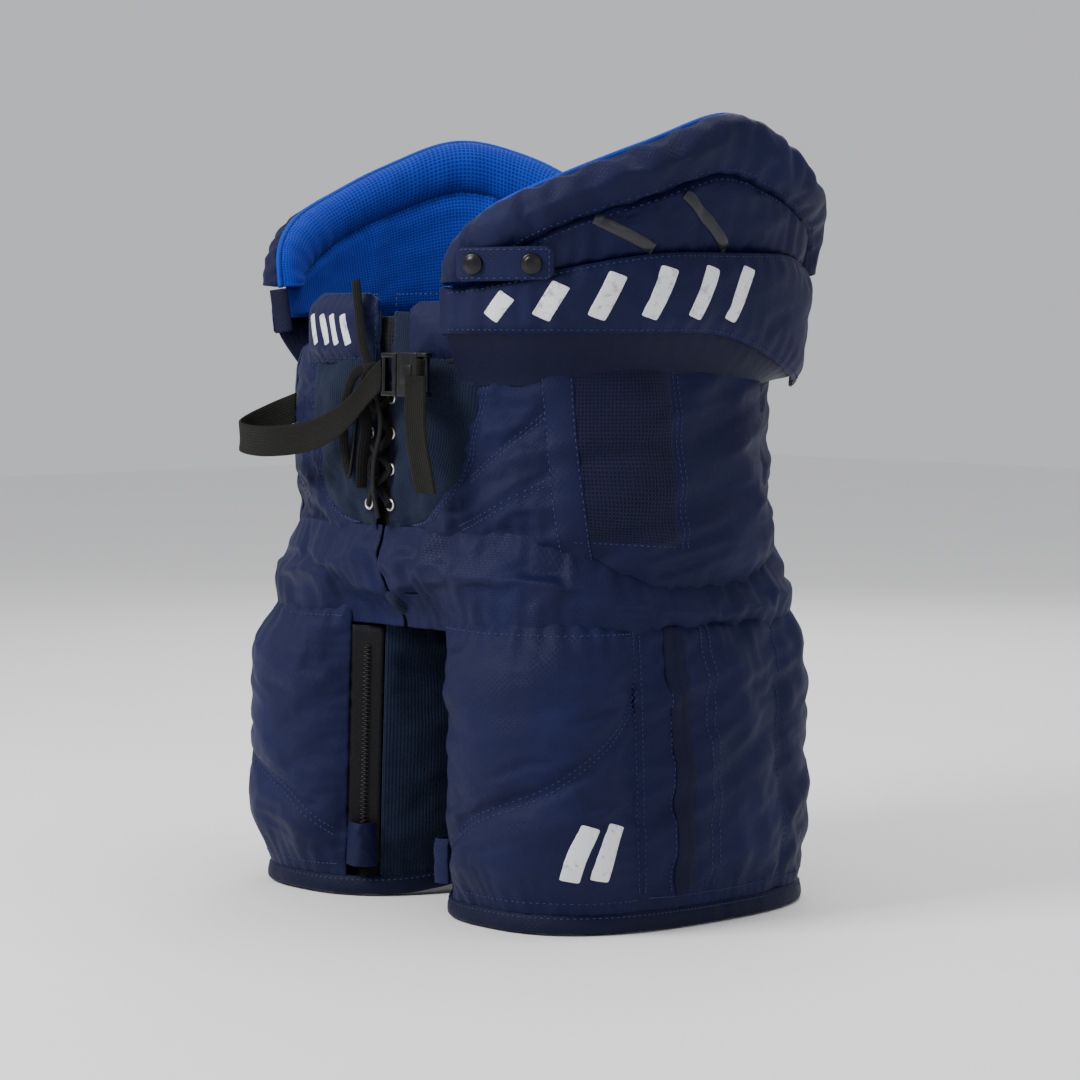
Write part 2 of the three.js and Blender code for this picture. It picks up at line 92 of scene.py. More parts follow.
def ring_between(low, high):
    """low and high are (height, centre, half width, half depth)."""

    def ring(z):
        k = (z - low[0]) / (high[0] - low[0])
        return [a + (b - a) * k for a, b in zip(low[1:], high[1:])]

    return ring


LEG = ring_between((0, 0.116, 0.100, 0.148), (0.235, 0.107, 0.097, 0.148))
GIRDLE = ring_between((0.262, 0, 0.202, 0.155), (0.490, 0, 0.184, 0.150))
WING_SHAPE = (0.426, 0, 0.200, 0.162), (0.622, 0, 0.228, 0.180)
WING = ring_between(*WING_SHAPE)
WAIST = ring_between(*WING_SHAPE)  # the same oval without the wings' turn, for the back pad
WING_TURN = {1: 18, -1: 48}  # degrees, by side: the waist sits twisted on the legs
# Metres of cloth to one degree, to lay wrinkles evenly.
LEG_DEGREE, GIRDLE_DEGREE = 0.0022, 0.0026
FRONT = 270


def oval(ring, degrees, z, offset, side=1):
    """A point on a ring, moved straight out by offset."""
    centre, a, b = ring(z)
    polar = math.radians(degrees + (WING_TURN[side] if ring is WING else 0))
    c, s = math.cos(polar), math.sin(polar)
    size = (abs(c / a) ** ROUNDNESS + abs(s / b) ** ROUNDNESS) ** (-1 / ROUNDNESS)
    x, y = c * size, s * size
    out = Vector(
        (
            math.copysign(abs(x / a) ** (ROUNDNESS - 1), x) / a,
            math.copysign(abs(y / b) ** (ROUNDNESS - 1), y) / b,
            0,
        )
    ).normalized()
    return Vector((side * (centre + x + out.x * offset), y + out.y * offset + SHIFT_Y, z))


def smooth(x, low=0.0, high=1.0):
    t = min(1.0, max(0.0, (x - low) / (high - low)))
    return t * t * (3 - 2 * t)


def mix(a, b, k):
    return a + (b - a) * k


def spline(points, t):
    """A smooth curve through points, t from 0 to 1, points evenly spaced in t."""
    spans = len(points) - 1
    i = min(int(t * spans), spans - 1)
    k = t * spans - i
    p = [Vector(points[min(max(i + j, 0), spans)]) for j in (-1, 0, 1, 2)]
    return (
        p[1]
        + (p[2] - p[0]) * 0.5 * k
        + (p[0] - p[1] * 2.5 + p[2] * 2 - p[3] * 0.5) * k * k
        + ((p[1] - p[2]) * 1.5 + (p[3] - p[0]) * 0.5) * k**3
    )


def length_through(points):
    return sum((b - a).length for a, b in zip(points, points[1:]))


def height_over(line, angle):
    """The height of an outline of (angle, height) points over an angle."""
    points = [spline(line, i / 80) for i in range(81)]
    for p, q in zip(points, points[1:]):
        if q.x >= angle:
            return mix(p.y, q.y, max(0.0, (angle - p.x) / max(q.x - p.x, 1e-6)))
    return points[-1].y


# ---- Shader maths ------------------------------------------------------------------------
class Value:
    """A number on a shader socket; arithmetic on it adds Math nodes."""

    def __init__(self, paint, socket):
        self.paint = paint
        self.socket = socket

    def math(self, operation, *values, clamp=False):
        return self.paint.node("ShaderNodeMath", values, operation=operation, use_clamp=clamp)

    def __add__(self, other):
        return self.math("ADD", self, other)

    def __mul__(self, other):
        return self.math("MULTIPLY", self, other)

    def __sub__(self, other):
        return self.math("SUBTRACT", self, other)

    def __rsub__(self, other):
        return self.math("SUBTRACT", other, self)

    def __truediv__(self, other):
        return self.math("DIVIDE", self, other)

    def __pow__(self, other):
        return self.math("POWER", self, other)

    __radd__ = __add__
    __rmul__ = __mul__

    def sine(self):
        return self.math("SINE", self)

    def size(self):
        return self.math("ABSOLUTE", self)

    def over(self, edge, width=0.02):
        """0 below edge, 1 above it, with a soft step."""
        return self.math("ADD", (self - edge) / width, 0.5, clamp=True)

    def at_most(self, other):
        return self.math("MINIMUM", self, other)

    def at_least(self, other):
        return self.math("MAXIMUM", self, other)


class Paint:
    """A material under construction."""

    def __init__(self, name, **constants):
        self.material = bpy.data.materials.new(name)
        self.material.use_nodes = True
        self.tree = self.material.node_tree
        self.surface = self.tree.nodes["Principled BSDF"]
        for socket, value in constants.items():
            self.surface.inputs[socket.replace("_", " ")].default_value = value

    def node(self, kind, inputs=(), output=0, **settings):
        made = self.tree.nodes.new(kind)
        stops = settings.pop("stops", None)
        for key, value in settings.items():
            setattr(made, key, value)
        if stops:
            ramp = made.color_ramp
            ramp.elements[0].position, ramp.elements[0].color = stops[0]
            ramp.elements[1].position, ramp.elements[1].color = stops[-1]
            for position, color in stops[1:-1]:
                ramp.elements.new(position).color = color
        pairs = inputs.items() if isinstance(inputs, dict) else enumerate(inputs)
        for socket, value in pairs:
            if isinstance(value, Value):
                self.tree.links.new(value.socket, made.inputs[socket])
            else:
                made.inputs[socket].default_value = value
        return Value(self, made.outputs[output])

    def feed(self, socket, value):
        self.tree.links.new(value.socket, self.surface.inputs[socket])

    def place(self):
        """Object coordinates, in metres."""
        return self.node("ShaderNodeTexCoord", output="Object")

    def along(self):
        """The piece's own UV, in metres along and up the fabric."""
        return self.node("ShaderNodeTexCoord", output="UV")

    def noise(self, place, scale, detail=2.0, roughness=0.5):
        settings = {"Vector": place, "Scale": scale, "Detail": detail, "Roughness": roughness}
        return self.node("ShaderNodeTexNoise", settings, output=0)

    def parts(self, place):
        split = self.node("ShaderNodeSeparateXYZ", [place])
        outputs = split.socket.node.outputs
        return Value(self, outputs[0]), Value(self, outputs[1]), Value(self, outputs[2])

    def blend(self, low, high, factor):
        """A colour between two colours."""
        inputs = {0: factor, 6: low, 7: high}
        return self.node("ShaderNodeMix", inputs, output=2, data_type="RGBA")

    def bump(self, height, distance, strength=1.0):
        inputs = {"Height": height, "Distance": distance, "Strength": strength}
        self.feed("Normal", self.node("ShaderNodeBump", inputs))


def rgb(red, green, blue):
    return (red, green, blue, 1.0)


def weave(paint, pitch):
    """Over-and-under threads, 0 to 1."""
    u, v, _ = paint.parts(paint.along())
    turn = math.pi / pitch
    warp = (u * turn).sine().size()
    weft = (v * turn).sine().size()
    over = ((u * turn * 0.5).sine() * (v * turn * 0.5).sine()).over(0.0, 0.3)
    return warp * over + weft * (1 - over)


def dirt(paint, amount):
    """Patches of wear, 0 to amount."""
    patches = paint.noise(paint.place(), 9.0, 6.0, 0.62)
    return patches.over(0.62, 0.25) * amount


def woven_nylon(name, color, light, pitch=0.0011, roughness=0.5, rim=0.03, gloss=0.14):
    paint = Paint(name, Sheen_Weight=rim, Sheen_Roughness=0.4, Sheen_Tint=rgb(0.4, 0.45, 0.8),
                  Specular_IOR_Level=gloss)
    threads = weave(paint, pitch)
    clouds = paint.noise(paint.place(), 16.0, 4.0)
    worn = dirt(paint, 0.30)
    paint.feed("Base Color", paint.blend(color, light, threads * 0.28 + clouds * 0.55 + worn))
    paint.feed("Roughness", roughness + clouds * 0.22 - threads * 0.08)
    creases = paint.noise(paint.place(), 58.0, 3.0)
    crinkle = paint.noise(paint.place(), 210.0, 2.0)
    paint.bump(threads * 0.12 + creases * 0.62 + crinkle * 0.26, 0.0016, 0.8)
    return paint.material


def knit(name, color, light, pitch=0.0022, rim=0.08):
    paint = Paint(name, Sheen_Weight=rim, Sheen_Roughness=0.6, Sheen_Tint=rgb(0.4, 0.5, 0.8),
                  Specular_IOR_Level=0.12)
    u, v, _ = paint.parts(paint.along())
    turn = math.pi / pitch
    rib = (u * turn).sine().size()
    loops = ((v * turn * 1.3) + rib * 1.4).sine().size()
    clouds = paint.noise(paint.place(), 30.0, 3.0)
    paint.feed("Base Color", paint.blend(color, light, rib * 0.5 * loops + clouds * 0.35))
    paint.feed("Roughness", 0.72 + clouds * 0.2)
    paint.bump(rib * 0.6 + loops * 0.4, 0.0009, 0.8)
    return paint.material


def mesh_knit(name, color, light, pitch=0.0034, rim=0.06):
    """Open mesh: rows of small round holes, staggered."""
    paint = Paint(name, Sheen_Weight=rim, Sheen_Roughness=0.5, Specular_IOR_Level=0.15)
    u, v, _ = paint.parts(paint.along())
    turn = math.pi / pitch
    holes = ((u * turn).sine() * (v * turn).sine()).size().over(0.55, 0.25)
    clouds = paint.noise(paint.place(), 26.0, 3.0)
    paint.feed("Base Color", paint.blend(light, color, holes * 0.75 + clouds * 0.3))
    paint.feed("Roughness", 0.75 + clouds * 0.15)
    paint.bump(1 - holes, 0.0010, 0.9)
    return paint.material


def moulded(name, color, roughness=0.3):
    paint = Paint(name, Coat_Weight=0.12, Coat_Roughness=0.3, Specular_IOR_Level=0.22)
    grain = paint.noise(paint.place(), 900.0, 2.0)
    scuffs = paint.noise(paint.place(), 60.0, 5.0, 0.7).over(0.6, 0.2)
    paint.feed("Base Color", paint.blend(color, rgb(0.012, 0.012, 0.014), scuffs * 0.3))
    paint.feed("Roughness", roughness + scuffs * 0.25 + grain * 0.08)
    paint.bump(grain, 0.0002, 0.5)
    return paint.material


def metal(name, color):
    paint = Paint(name, Metallic=1.0)
    scratches = paint.noise(paint.place(), 400.0, 4.0, 0.7)
    paint.feed("Base Color", paint.blend(color, rgb(0.25, 0.24, 0.22), scratches.over(0.62, 0.15) * 0.6))
    paint.feed("Roughness", 0.22 + scratches * 0.3)
    paint.bump(scratches, 0.0001, 0.4)
    return paint.material


def ribbed_webbing(name, color, light):
    paint = Paint(name, Sheen_Weight=0.03, Sheen_Roughness=0.5, Specular_IOR_Level=0.15)
    u, v, _ = paint.parts(paint.along())
    ribs = (v * (math.pi / 0.0024)).sine().size()
    picks = (u * (math.pi / 0.0013) + ribs * 1.5).sine().size()
    fuzz = paint.noise(paint.place(), 500.0, 3.0)
    paint.feed("Base Color", paint.blend(color, light, ribs * 0.35 + picks * 0.25 + fuzz * 0.4))
    paint.feed("Roughness", 0.7 + fuzz * 0.25)
    paint.bump(ribs * 0.6 + picks * 0.4, 0.0008, 0.9)
    return paint.material


def printed(name, color, worn_color):
    """A rubbery print that has cracked and rubbed thin."""
    paint = Paint(name)
    rubbed = paint.noise(paint.place(), 120.0, 6.0, 0.7).over(0.6, 0.12)
    grain = paint.noise(paint.place(), 700.0, 2.0)
    paint.feed("Base Color", paint.blend(color, worn_color, rubbed * 0.6 + grain * 0.15))
    paint.feed("Roughness", 0.45 + rubbed * 0.35)
    paint.bump(grain + rubbed, 0.0003, 0.6)
    return paint.material


NAVY = woven_nylon("navy nylon", rgb(0.0022, 0.0032, 0.019), rgb(0.0075, 0.0105, 0.056))
NAVY_DARK = woven_nylon("dark navy nylon", rgb(0.0016, 0.0022, 0.012), rgb(0.005, 0.007, 0.033))
TEAL_KNIT = knit("teal navy stretch knit", rgb(0.0014, 0.0035, 0.011), rgb(0.006, 0.013, 0.036))
NAVY_MESH = mesh_knit("navy mesh", rgb(0.0012, 0.0017, 0.008), rgb(0.006, 0.0085, 0.036), pitch=0.0026)
BLACK_MESH = mesh_knit("black open mesh", rgb(0.0015, 0.0015, 0.002), rgb(0.009, 0.010, 0.015))
BLUE_MESH = mesh_knit("royal blue mesh lining", rgb(0.0009, 0.010, 0.14), rgb(0.0028, 0.036, 0.44),
                      pitch=0.0030)
BLUE_EDGE = woven_nylon("royal blue binding", rgb(0.001, 0.018, 0.22), rgb(0.004, 0.055, 0.48))
BLACK_CLOTH = woven_nylon("black tricot lining", rgb(0.002, 0.002, 0.0025), rgb(0.008, 0.008, 0.010))
WEBBING = ribbed_webbing("black webbing", rgb(0.0010, 0.0009, 0.0008), rgb(0.0068, 0.0062, 0.0048))
LACE = ribbed_webbing("black lace braid", rgb(0.0008, 0.0008, 0.0009), rgb(0.0055, 0.0055, 0.006))
PLASTIC = moulded("black glossy plastic", rgb(0.0030, 0.0030, 0.0036), 0.24)
ZIP_PLASTIC = moulded("black zip plastic", rgb(0.01, 0.01, 0.012), 0.35)
PLATE = moulded("grey moulded plate", rgb(0.030, 0.031, 0.034), 0.5)
EYELET_METAL = metal("worn nickel", rgb(0.62, 0.61, 0.58))
STRIPE = moulded("dark grey glossy stripe", rgb(0.022, 0.024, 0.030), 0.2)
WHITE_PRINT = printed("worn white print", rgb(0.72, 0.73, 0.74), rgb(0.16, 0.17, 0.24))
THREAD = ribbed_webbing("blue grey thread", rgb(0.018, 0.025, 0.080), rgb(0.070, 0.092, 0.215))
BLUE_THREAD = ribbed_webbing("bright blue thread", rgb(0.01, 0.06, 0.4), rgb(0.03, 0.14, 0.75))


# ---- Sewing ------------------------------------------------------------------------------
SIDES = {"left": 1, "right": -1}
cloths = []  # sheets waiting for the simulation, with how they swell


def new_piece(name, shape, *materials, is_smooth=True):
    """A bmesh made an object that stands at the origin."""
    mesh = bpy.data.meshes.new(name)
    for face in shape.faces:
        face.smooth = is_smooth
    shape.to_mesh(mesh)
    shape.free()
    piece = bpy.data.objects.new(name, mesh)
    for material in materials:
        mesh.materials.append(material)
    scene.collection.objects.link(piece)
    return piece


def cloth_grid(cells, wide, tall, left=0.0, foot=0.0):
    """A unit grid about the origin, to be bent, whose UV is in metres and starts at left and foot."""
    sheet = bmesh.new()
    bmesh.ops.create_grid(sheet, x_segments=cells[0], y_segments=cells[1], size=0.5)
    uv = sheet.loops.layers.uv.new("cloth")
    for face in sheet.faces:
        for loop in face.loops:
            loop[uv].uv = ((loop.vert.co.x + left) * wide, (loop.vert.co.y + foot) * tall)
    return sheet


def seam_points(ring, seams, side):
    """Close-set points along seams, each a run of (angle, height)."""
    return [oval(ring, *spline(seam, i / 60), 0, side) for seam in seams for i in range(61)]


def finder(points):
    """Gives the gap from a place to the nearest of some points."""
    tree = KDTree(max(1, len(points)))
    for i, point in enumerate(points):
        tree.insert(point, i)
    tree.balance()
    return lambda place: tree.find(place)[2] if points else 1.0


def sewn(name, material, ring, shape, cells, side=1, seams=(), dip=0.004, swell=None):
    """A sheet of fabric on a ring. shape(u, v) gives angle, height and offset; u runs round, v runs up.
    The fabric dips into its seams. swell is (pressure, growth, most out, most in) for the simulation."""

    def reach(places):
        return length_through([oval(ring, *shape(u, v), side) for u, v in places])

    long, high = reach([(i / 12, 0.5) for i in range(13)]), reach([(0.5, i / 12) for i in range(13)])
    sheet = cloth_grid(cells, long, high, 0.5, 0.5)
    spots = {vert: (vert.co.x + 0.5, vert.co.y + 0.5) for vert in sheet.verts}
    gap_to_seam = finder(seam_points(ring, seams, side))
    spacing = reach([(0.5, 0.5), (0.5 + 1 / cells[0], 0.5)])
    pinned = []
    for vert, (u, v) in spots.items():
        angle, z, offset = shape(u, v)
        gap = gap_to_seam(oval(ring, angle, z, 0, side))
        offset -= dip * math.exp(-((gap / (1.6 * spacing)) ** 2))
        vert.co = oval(ring, angle, z, offset, side)
        if vert.is_boundary or gap < 0.6 * spacing:
            pinned.append(vert)
    if side < 0:
        bmesh.ops.reverse_faces(sheet, faces=sheet.faces)
    sheet.verts.index_update()
    fixed = [vert.index for vert in pinned]
    piece = new_piece(name, sheet, material)
    if swell:
        piece.vertex_groups.new(name="sewn").add(fixed, 1.0, "REPLACE")
        cloths.append((piece, swell))
    return piece


MOST_SLIDE = 0.006  # how far the simulation may move a point within its sheet


def run_cloths(steps=16):
    """Lets every waiting sheet swell at once, then keeps each point within its reach."""
    for piece, (pressure, growth, _, _) in cloths:
        cloth = piece.modifiers.new("swelling", "CLOTH")
        facts = cloth.settings
        facts.quality = 6
        facts.mass = 0.12
        facts.tension_stiffness = facts.compression_stiffness = 14
        facts.shear_stiffness = 6
        facts.bending_stiffness = 0.35
        facts.use_pressure = True
        facts.uniform_pressure_force = pressure
        facts.shrink_min = -growth
        facts.vertex_group_mass = "sewn"
        facts.effector_weights.gravity = 0
        facts.air_damping = 2
        cloth.collision_settings.use_collision = False
        cloth.point_cache.frame_start = 1
        cloth.point_cache.frame_end = steps
    for step in range(1, steps + 1):
        scene.frame_set(step)
    seen = bpy.context.evaluated_depsgraph_get()
    swollen = {}
    for piece, _ in cloths:
        points = piece.evaluated_get(seen).data.vertices
        swollen[piece.name] = [point.co.copy() for point in points]
    for piece, (_, _, most_out, most_in) in cloths:
        piece.modifiers.clear()
        rest = piece.data.vertices
        outs = [vert.normal.copy() for vert in rest]
        for vert, out, there in zip(rest, outs, swollen[piece.name]):
            move = there - vert.co
            rise = move.dot(out)
            level = move - out * rise
            if level.length > MOST_SLIDE:
                level *= MOST_SLIDE / level.length
            vert.co += level + out * max(-most_in, min(most_out, rise))
    scene.frame_set(1)


def back_with(piece, thickness=0.002, levels=1):
    """Gives a sheet its wall, inward, and rounds it."""
    if thickness:
        wall = piece.modifiers.new("wall", "SOLIDIFY")
        wall.thickness = thickness
        wall.offset = -1
    if levels:
        smoother = piece.modifiers.new("smooth", "SUBSURF")
        smoother.levels = smoother.render_levels = levels


def belongs(piece, body, *nodes, slot=None):
    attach(piece, body)
    if nodes:
        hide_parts(*nodes)
    return piece


def puckers(along, across, pitch, depth, reach, seed=0.0):
    """Short gathers that run away from a seam: along is the way down the seam, across the way from it."""
    sway = noise.noise(Vector((along / pitch * 0.37, seed, 0.3)))
    wave = math.sin(2 * math.pi * (along / pitch + sway * 0.8))
    size = 0.6 + 0.8 * noise.noise(Vector((along / pitch * 0.21, seed + 5, across / reach)))
    return depth * wave * size * math.exp(-across / reach)


def crumple(point, scale, depth, seed=0.0):
    """Soft uneven folds."""
    spot = Vector(point) / scale + Vector((seed * 7.1, seed * 3.3, seed))
    return depth * (noise.noise(spot) + 0.5 * noise.noise(spot * 2.3))


def creases(along, z, depth, seed=0.0):
    """Long slanting folds with sharp valleys, as loose nylon falls into."""
    slant = z - 0.35 * along
    ridge = 1 - abs(noise.noise(Vector((along * 9 + seed, slant * 34, seed * 1.7)))) * 3.2
    fine = 1 - abs(noise.noise(Vector((along * 22 + seed, slant * 70, seed * 2.3)))) * 3.0
    return depth * (0.7 * ridge + 0.3 * fine)


def pillow(u, v, edge=0.18, power=0.7):
    """0 on a panel's edges, near 1 over its middle."""
    near_side = min(u, 1 - u) / edge
    near_end = min(v, 1 - v) / edge
    return (smooth(near_side) * smooth(near_end)) ** power


def surface_of(*pieces):
    """Trees for laying stitches and trim on finished pieces."""
    bpy.context.view_layer.update()
    seen = bpy.context.evaluated_depsgraph_get()
    return [BVHTree.FromObject(piece, seen) for piece in pieces]


PROBE_FROM, PROBE_LONG = 0.09, 0.13  # rays start this far out of a ring and are this long


def laid(trees, ring, angle, z, side, lift=0.0):
    """The point on the outermost of some pieces over a place on a ring, and the way out of it."""
    far = oval(ring, angle, z, PROBE_FROM, side)
    way = (oval(ring, angle, z, 0.0, side) - far).normalized()
    best = None
    for tree in trees:
        spot, normal, _, gap = tree.ray_cast(far, way, PROBE_LONG)
        if spot and (best is None or gap < best[2]):
            best = (spot, normal, gap)
    if best is None:
        return oval(ring, angle, z, lift, side), -way
    spot, normal, _ = best
    normal = normal if normal.dot(way) < 0 else -normal
    return spot + normal * lift, normal


STITCH_PITCH, STITCH_LONG, STITCH_WIDE = 0.0042, 0.0031, 0.0011


def sew_stitches(name, trees, ring, lines, side, body):
    """One object of small thread beads along lines of (angle, height), which rides on a body."""
    thread = bmesh.new()
    for line in lines:
        points = [oval(ring, *spline(line, i / 50), 0, side) for i in range(51)]
        count = max(2, int(length_through(points) / STITCH_PITCH))
        for i in range(count):
            angle, z = spline(line, (i + 0.5) / count)
            ahead_angle, ahead_z = spline(line, min(1.0, (i + 0.9) / count))
            spot, out = laid(trees, ring, angle, z, side, 0.0002)
            ahead, _ = laid(trees, ring, ahead_angle, ahead_z, side, 0.0002)
            along = (ahead - spot).normalized()
            across = out.cross(along).normalized()
            up = along.cross(across)
            turn = Matrix((along * STITCH_LONG, across * STITCH_WIDE,
                           up * STITCH_WIDE * 0.8)).transposed().to_4x4()
            turn.translation = spot
            bmesh.ops.create_icosphere(thread, subdivisions=1, radius=0.5, matrix=turn)
    return belongs(new_piece(name, thread, THREAD), body, slot="nylon_shell")


def beside(line, degrees, rise=0.0):
    """The same line moved round the ring and up."""
    return [(angle + degrees, z + rise) for angle, z in line]


def lay_tape(name, trees, ring, line, width, side, material, lift=0.0008, thickness=0.0012, steps=40, rows=3):
    """A flat band over finished pieces, along a line of (angle, height), width in metres."""
    spine = []
    for i in range(steps + 1):
        place = spline(line, i / steps)
        point = oval(ring, place[0], place[1], 0, side)
        ahead = oval(ring, *spline(line, min(1.0, (i + 0.5) / steps)), 0, side)
        behind = oval(ring, *spline(line, max(0.0, (i - 0.5) / steps)), 0, side)
        spine.append((place, (ahead - behind).normalized(), point))
    sheet = cloth_grid((steps, rows), length_through([point for _, _, point in spine]), width, 0.5)
    spots = {vert: (vert.co.x + 0.5, vert.co.y) for vert in sheet.verts}
    for vert, (u, v) in spots.items():
        (angle, z), along, point = spine[round(u * steps)]
        out = (point - oval(ring, angle, z, -0.01, side)).normalized()
        across = out.cross(along).normalized() * (v * width)
        per_degree = (oval(ring, angle + 1, z, 0, side) - point).length
        sideways = (oval(ring, angle + 1, z, 0, side) - point).normalized()
        spot, normal = laid(trees, ring, angle + across.dot(sideways) / per_degree, z + across.z, side)
        edge = 1 - (2 * abs(v)) ** 4
        vert.co = spot + normal * (lift + thickness * edge)
    bmesh.ops.recalc_face_normals(sheet, faces=sheet.faces)
    piece = new_piece(name, sheet, material)
    middle = piece.data.polygons[len(piece.data.polygons) // 2]
    if middle.normal.dot(Vector((middle.center.x - side * LEG(0)[0] * (ring is LEG), middle.center.y,
                                 0))) < 0:
        piece.data.flip_normals()
    back_with(piece, thickness, 1)
    return piece


def lay_bar(name, trees, ring, line, width, side, body, steps, rows):
    """A slanted bar of white print."""
    bar = lay_tape(name, trees, ring, line, width, side, WHITE_PRINT, 0.0002, 0.0005, steps, rows)
    belongs(bar, body, slot="nylon_shell")


def lay_patch(name, trees, ring, left, right, side, material, lift=0.0010, thickness=0.0010, cells=(24, 36)):
    """Cloth sewn flat on finished pieces between two lines of (angle, height)."""
    foot, head = (oval(ring, *spline(left, t), 0, side) for t in (0, 1))
    middle = [oval(ring, *spline(line, 0.5), 0, side) for line in (left, right)]
    tall, wide = (head - foot).length, (middle[1] - middle[0]).length
    patch = cloth_grid(cells, wide, tall, 0.5, 0.5)
    for vert in patch.verts:
        u, v = vert.co.x + 0.5, vert.co.y + 0.5
        angle, z = spline(left, v).lerp(spline(right, v), u)
        inside = min(1.0, min(u, 1 - u, v, 1 - v) * 18)
        vert.co, _ = laid(trees, ring, angle, z, side, mix(-0.0004, lift, inside))
    if side < 0:
        bmesh.ops.reverse_faces(patch, faces=patch.faces)
    piece = new_piece(name, patch, material)
    back_with(piece, thickness, 1)
    return piece


def tube_along(name, points, radius, material, sides=10, flat=1.0, path_steps=6):
    """A round or flattened tube through points, as a mesh, with closed ends."""
    steps = path_steps * (len(points) - 1)
    route = [spline(points, i / steps) for i in range(steps + 1)]
    shape = bmesh.new()
    uv = shape.loops.layers.uv.new("cloth")
    ring_verts, walked, before = [], 0.0, None
    side_way = Vector((0, 0, 1))
    for i, point in enumerate(route):
        along = (route[min(i + 1, len(route) - 1)] - route[max(i - 1, 0)]).normalized()
        side_way = (side_way - along * side_way.dot(along)).normalized()
        other = along.cross(side_way)
        turn = Matrix((side_way * radius, other * radius * flat, along)).transposed().to_4x4()
        turn.translation = point
        made = bmesh.ops.create_circle(shape, segments=sides, radius=1.0, matrix=turn)["verts"]
        walked += (point - before).length if before else 0.0
        before = point
        ring_verts.append((made, walked))
    for (low, at_low), (high, at_high) in zip(ring_verts, ring_verts[1:]):
        for j in range(sides):
            k = (j + 1) % sides
            face = shape.faces.new((low[j], low[k], high[k], high[j]))
            spots = ((j, at_low), (j + 1, at_low), (j + 1, at_high), (j, at_high))
            for loop, (turn_share, way) in zip(face.loops, spots):
                loop[uv].uv = (way, turn_share / sides * 2 * math.pi * radius)
    for end, _ in (ring_verts[0], ring_verts[-1]):
        shape.faces.new(end)
    bmesh.ops.recalc_face_normals(shape, faces=shape.faces)
    return new_piece(name, shape, material)


# ---- Legs --------------------------------------------------------------------------------
HEM_DEEP = 0.0175
ARCH = 0.016  # how far the hem rises at the inner thigh
ROUND_LEG = (144, 504)
PANEL_TALL = 0.21


def hem_edge(angle):
    from_inner = abs(angle % 360 - 180)
    return 0 if from_inner > 60 else ARCH * 0.5 * (1 + math.cos(math.radians(from_inner * 3)))


PAD = (251.0, 322.4)  # the front thigh pad's edges; the zip is beside the first
OUTER = (320.6, 504)
GUSSET = (144, 240.5)
QUILTING = [(255, 0.052), (272, 0.084), (294, 0.112), (310, 0.148), (322, 0.182)]
OUTER_TAPE = [(338.5, 0.026), (337.5, 0.130), (336, 0.232)]
SIDE_TAPE = [(341, 0.030), (340.5, 0.130), (340, 0.232)]


def leg_panel(name, material, span, bulge, side, cells, top=0.240, fold=0.003, seams=(), swell=None,
              dip=0.004):
    start, end = span
    seed = side * 3 + start

    def shape(u, v):
        angle = mix(start, end, u)
        low = hem_edge(angle) + HEM_DEEP - 0.003
        z = mix(low, top, v)
        wide = math.radians(end - start) * 0.12
        offset = 0.0015 + bulge * pillow(u, v, 0.22) - 0.004 * smooth(v, 0.93, 1.0)
        offset += puckers(u * wide, (1 - v) * PANEL_TALL, 0.013, 0.0022, 0.022, seed)
        offset += puckers(u * wide, v * PANEL_TALL, 0.010, 0.0014, 0.014, seed + 2)
        offset += puckers(v * PANEL_TALL, min(u, 1 - u) * wide, 0.012, 0.0012, 0.012, seed + 4)
        offset += crumple((angle * LEG_DEGREE, z, 0), 0.055, fold, seed) * pillow(u, v, 0.1)
        fall = creases(angle * LEG_DEGREE, z, 0.0034 if start > 300 else 0.0018, seed)
        offset += fall * pillow(u, v, 0.08) * (0.5 + 0.8 * v)
        return angle, z, offset

    return sewn(name, material, LEG, shape, cells, side, seams, dip, swell)


def make_hem(side_name, side):
    def shape(u, v):
        angle = mix(*ROUND_LEG, u)
        worn = crumple((angle * LEG_DEGREE, 0, side), 0.012, 0.0009, 2)
        z = hem_edge(angle) + mix(0.0012, HEM_DEEP, v) + worn * (1 - v)
        return angle, max(z, 0.0006), 0.0012 + 0.0036 * math.sin(math.pi
                                                                 * min(1, v * 0.8 + 0.25)) ** 0.6 + worn

    band = sewn(f"{side_name}_hem", NAVY_DARK, LEG, shape, (150, 5), side)
    back_with(band, 0.004, 1)
    return belongs(band, f"{side_name}_leg", f"{side_name}_hem_band", slot="nylon_shell")


def make_leg_lining(side_name, side):
    def shape(u, v):
        angle = mix(*ROUND_LEG, u)
        z = mix(hem_edge(angle) + 0.003, 0.236, v)
        offset = mix(-0.003, -0.0125, smooth(v, 0.0, 0.09)) + crumple((angle * LEG_DEGREE, z, 4), 0.04,
                                                                      0.0022, side)
        return angle, z, offset

    lining = sewn(f"{side_name}_leg_lining", BLACK_CLOTH, LEG, shape, (100, 26), side)
    back_with(lining, 0.0018, 1)
    return belongs(lining, f"{side_name}_leg", f"{side_name}_leg_liner", slot="black_lining")


def make_leg(side_name, side):
    leg = f"{side_name}_leg"
    pad = leg_panel(
        f"{side_name}_front_pad", NAVY, PAD, 0.017, side, (44, 56), seams=[QUILTING],
        swell=(2.6, 0.035, 0.007, 0.003)
    )
    outer = leg_panel(
        f"{side_name}_outer_shell", NAVY, OUTER, 0.006, side, (84, 46), fold=0.005,
        seams=[[(400, 0.02), (400, 0.24)], [(447, 0.02), (447, 0.24)]], swell=(1.4, 0.035, 0.006, 0.003),
        dip=0.003,
    )
    gusset = leg_panel(
        f"{side_name}_stretch_gusset", TEAL_KNIT, GUSSET, 0.002, side, (46, 40), fold=0.004,
        swell=(0.8, 0.03, 0.004, 0.003)
    )
    return leg, pad, outer, gusset


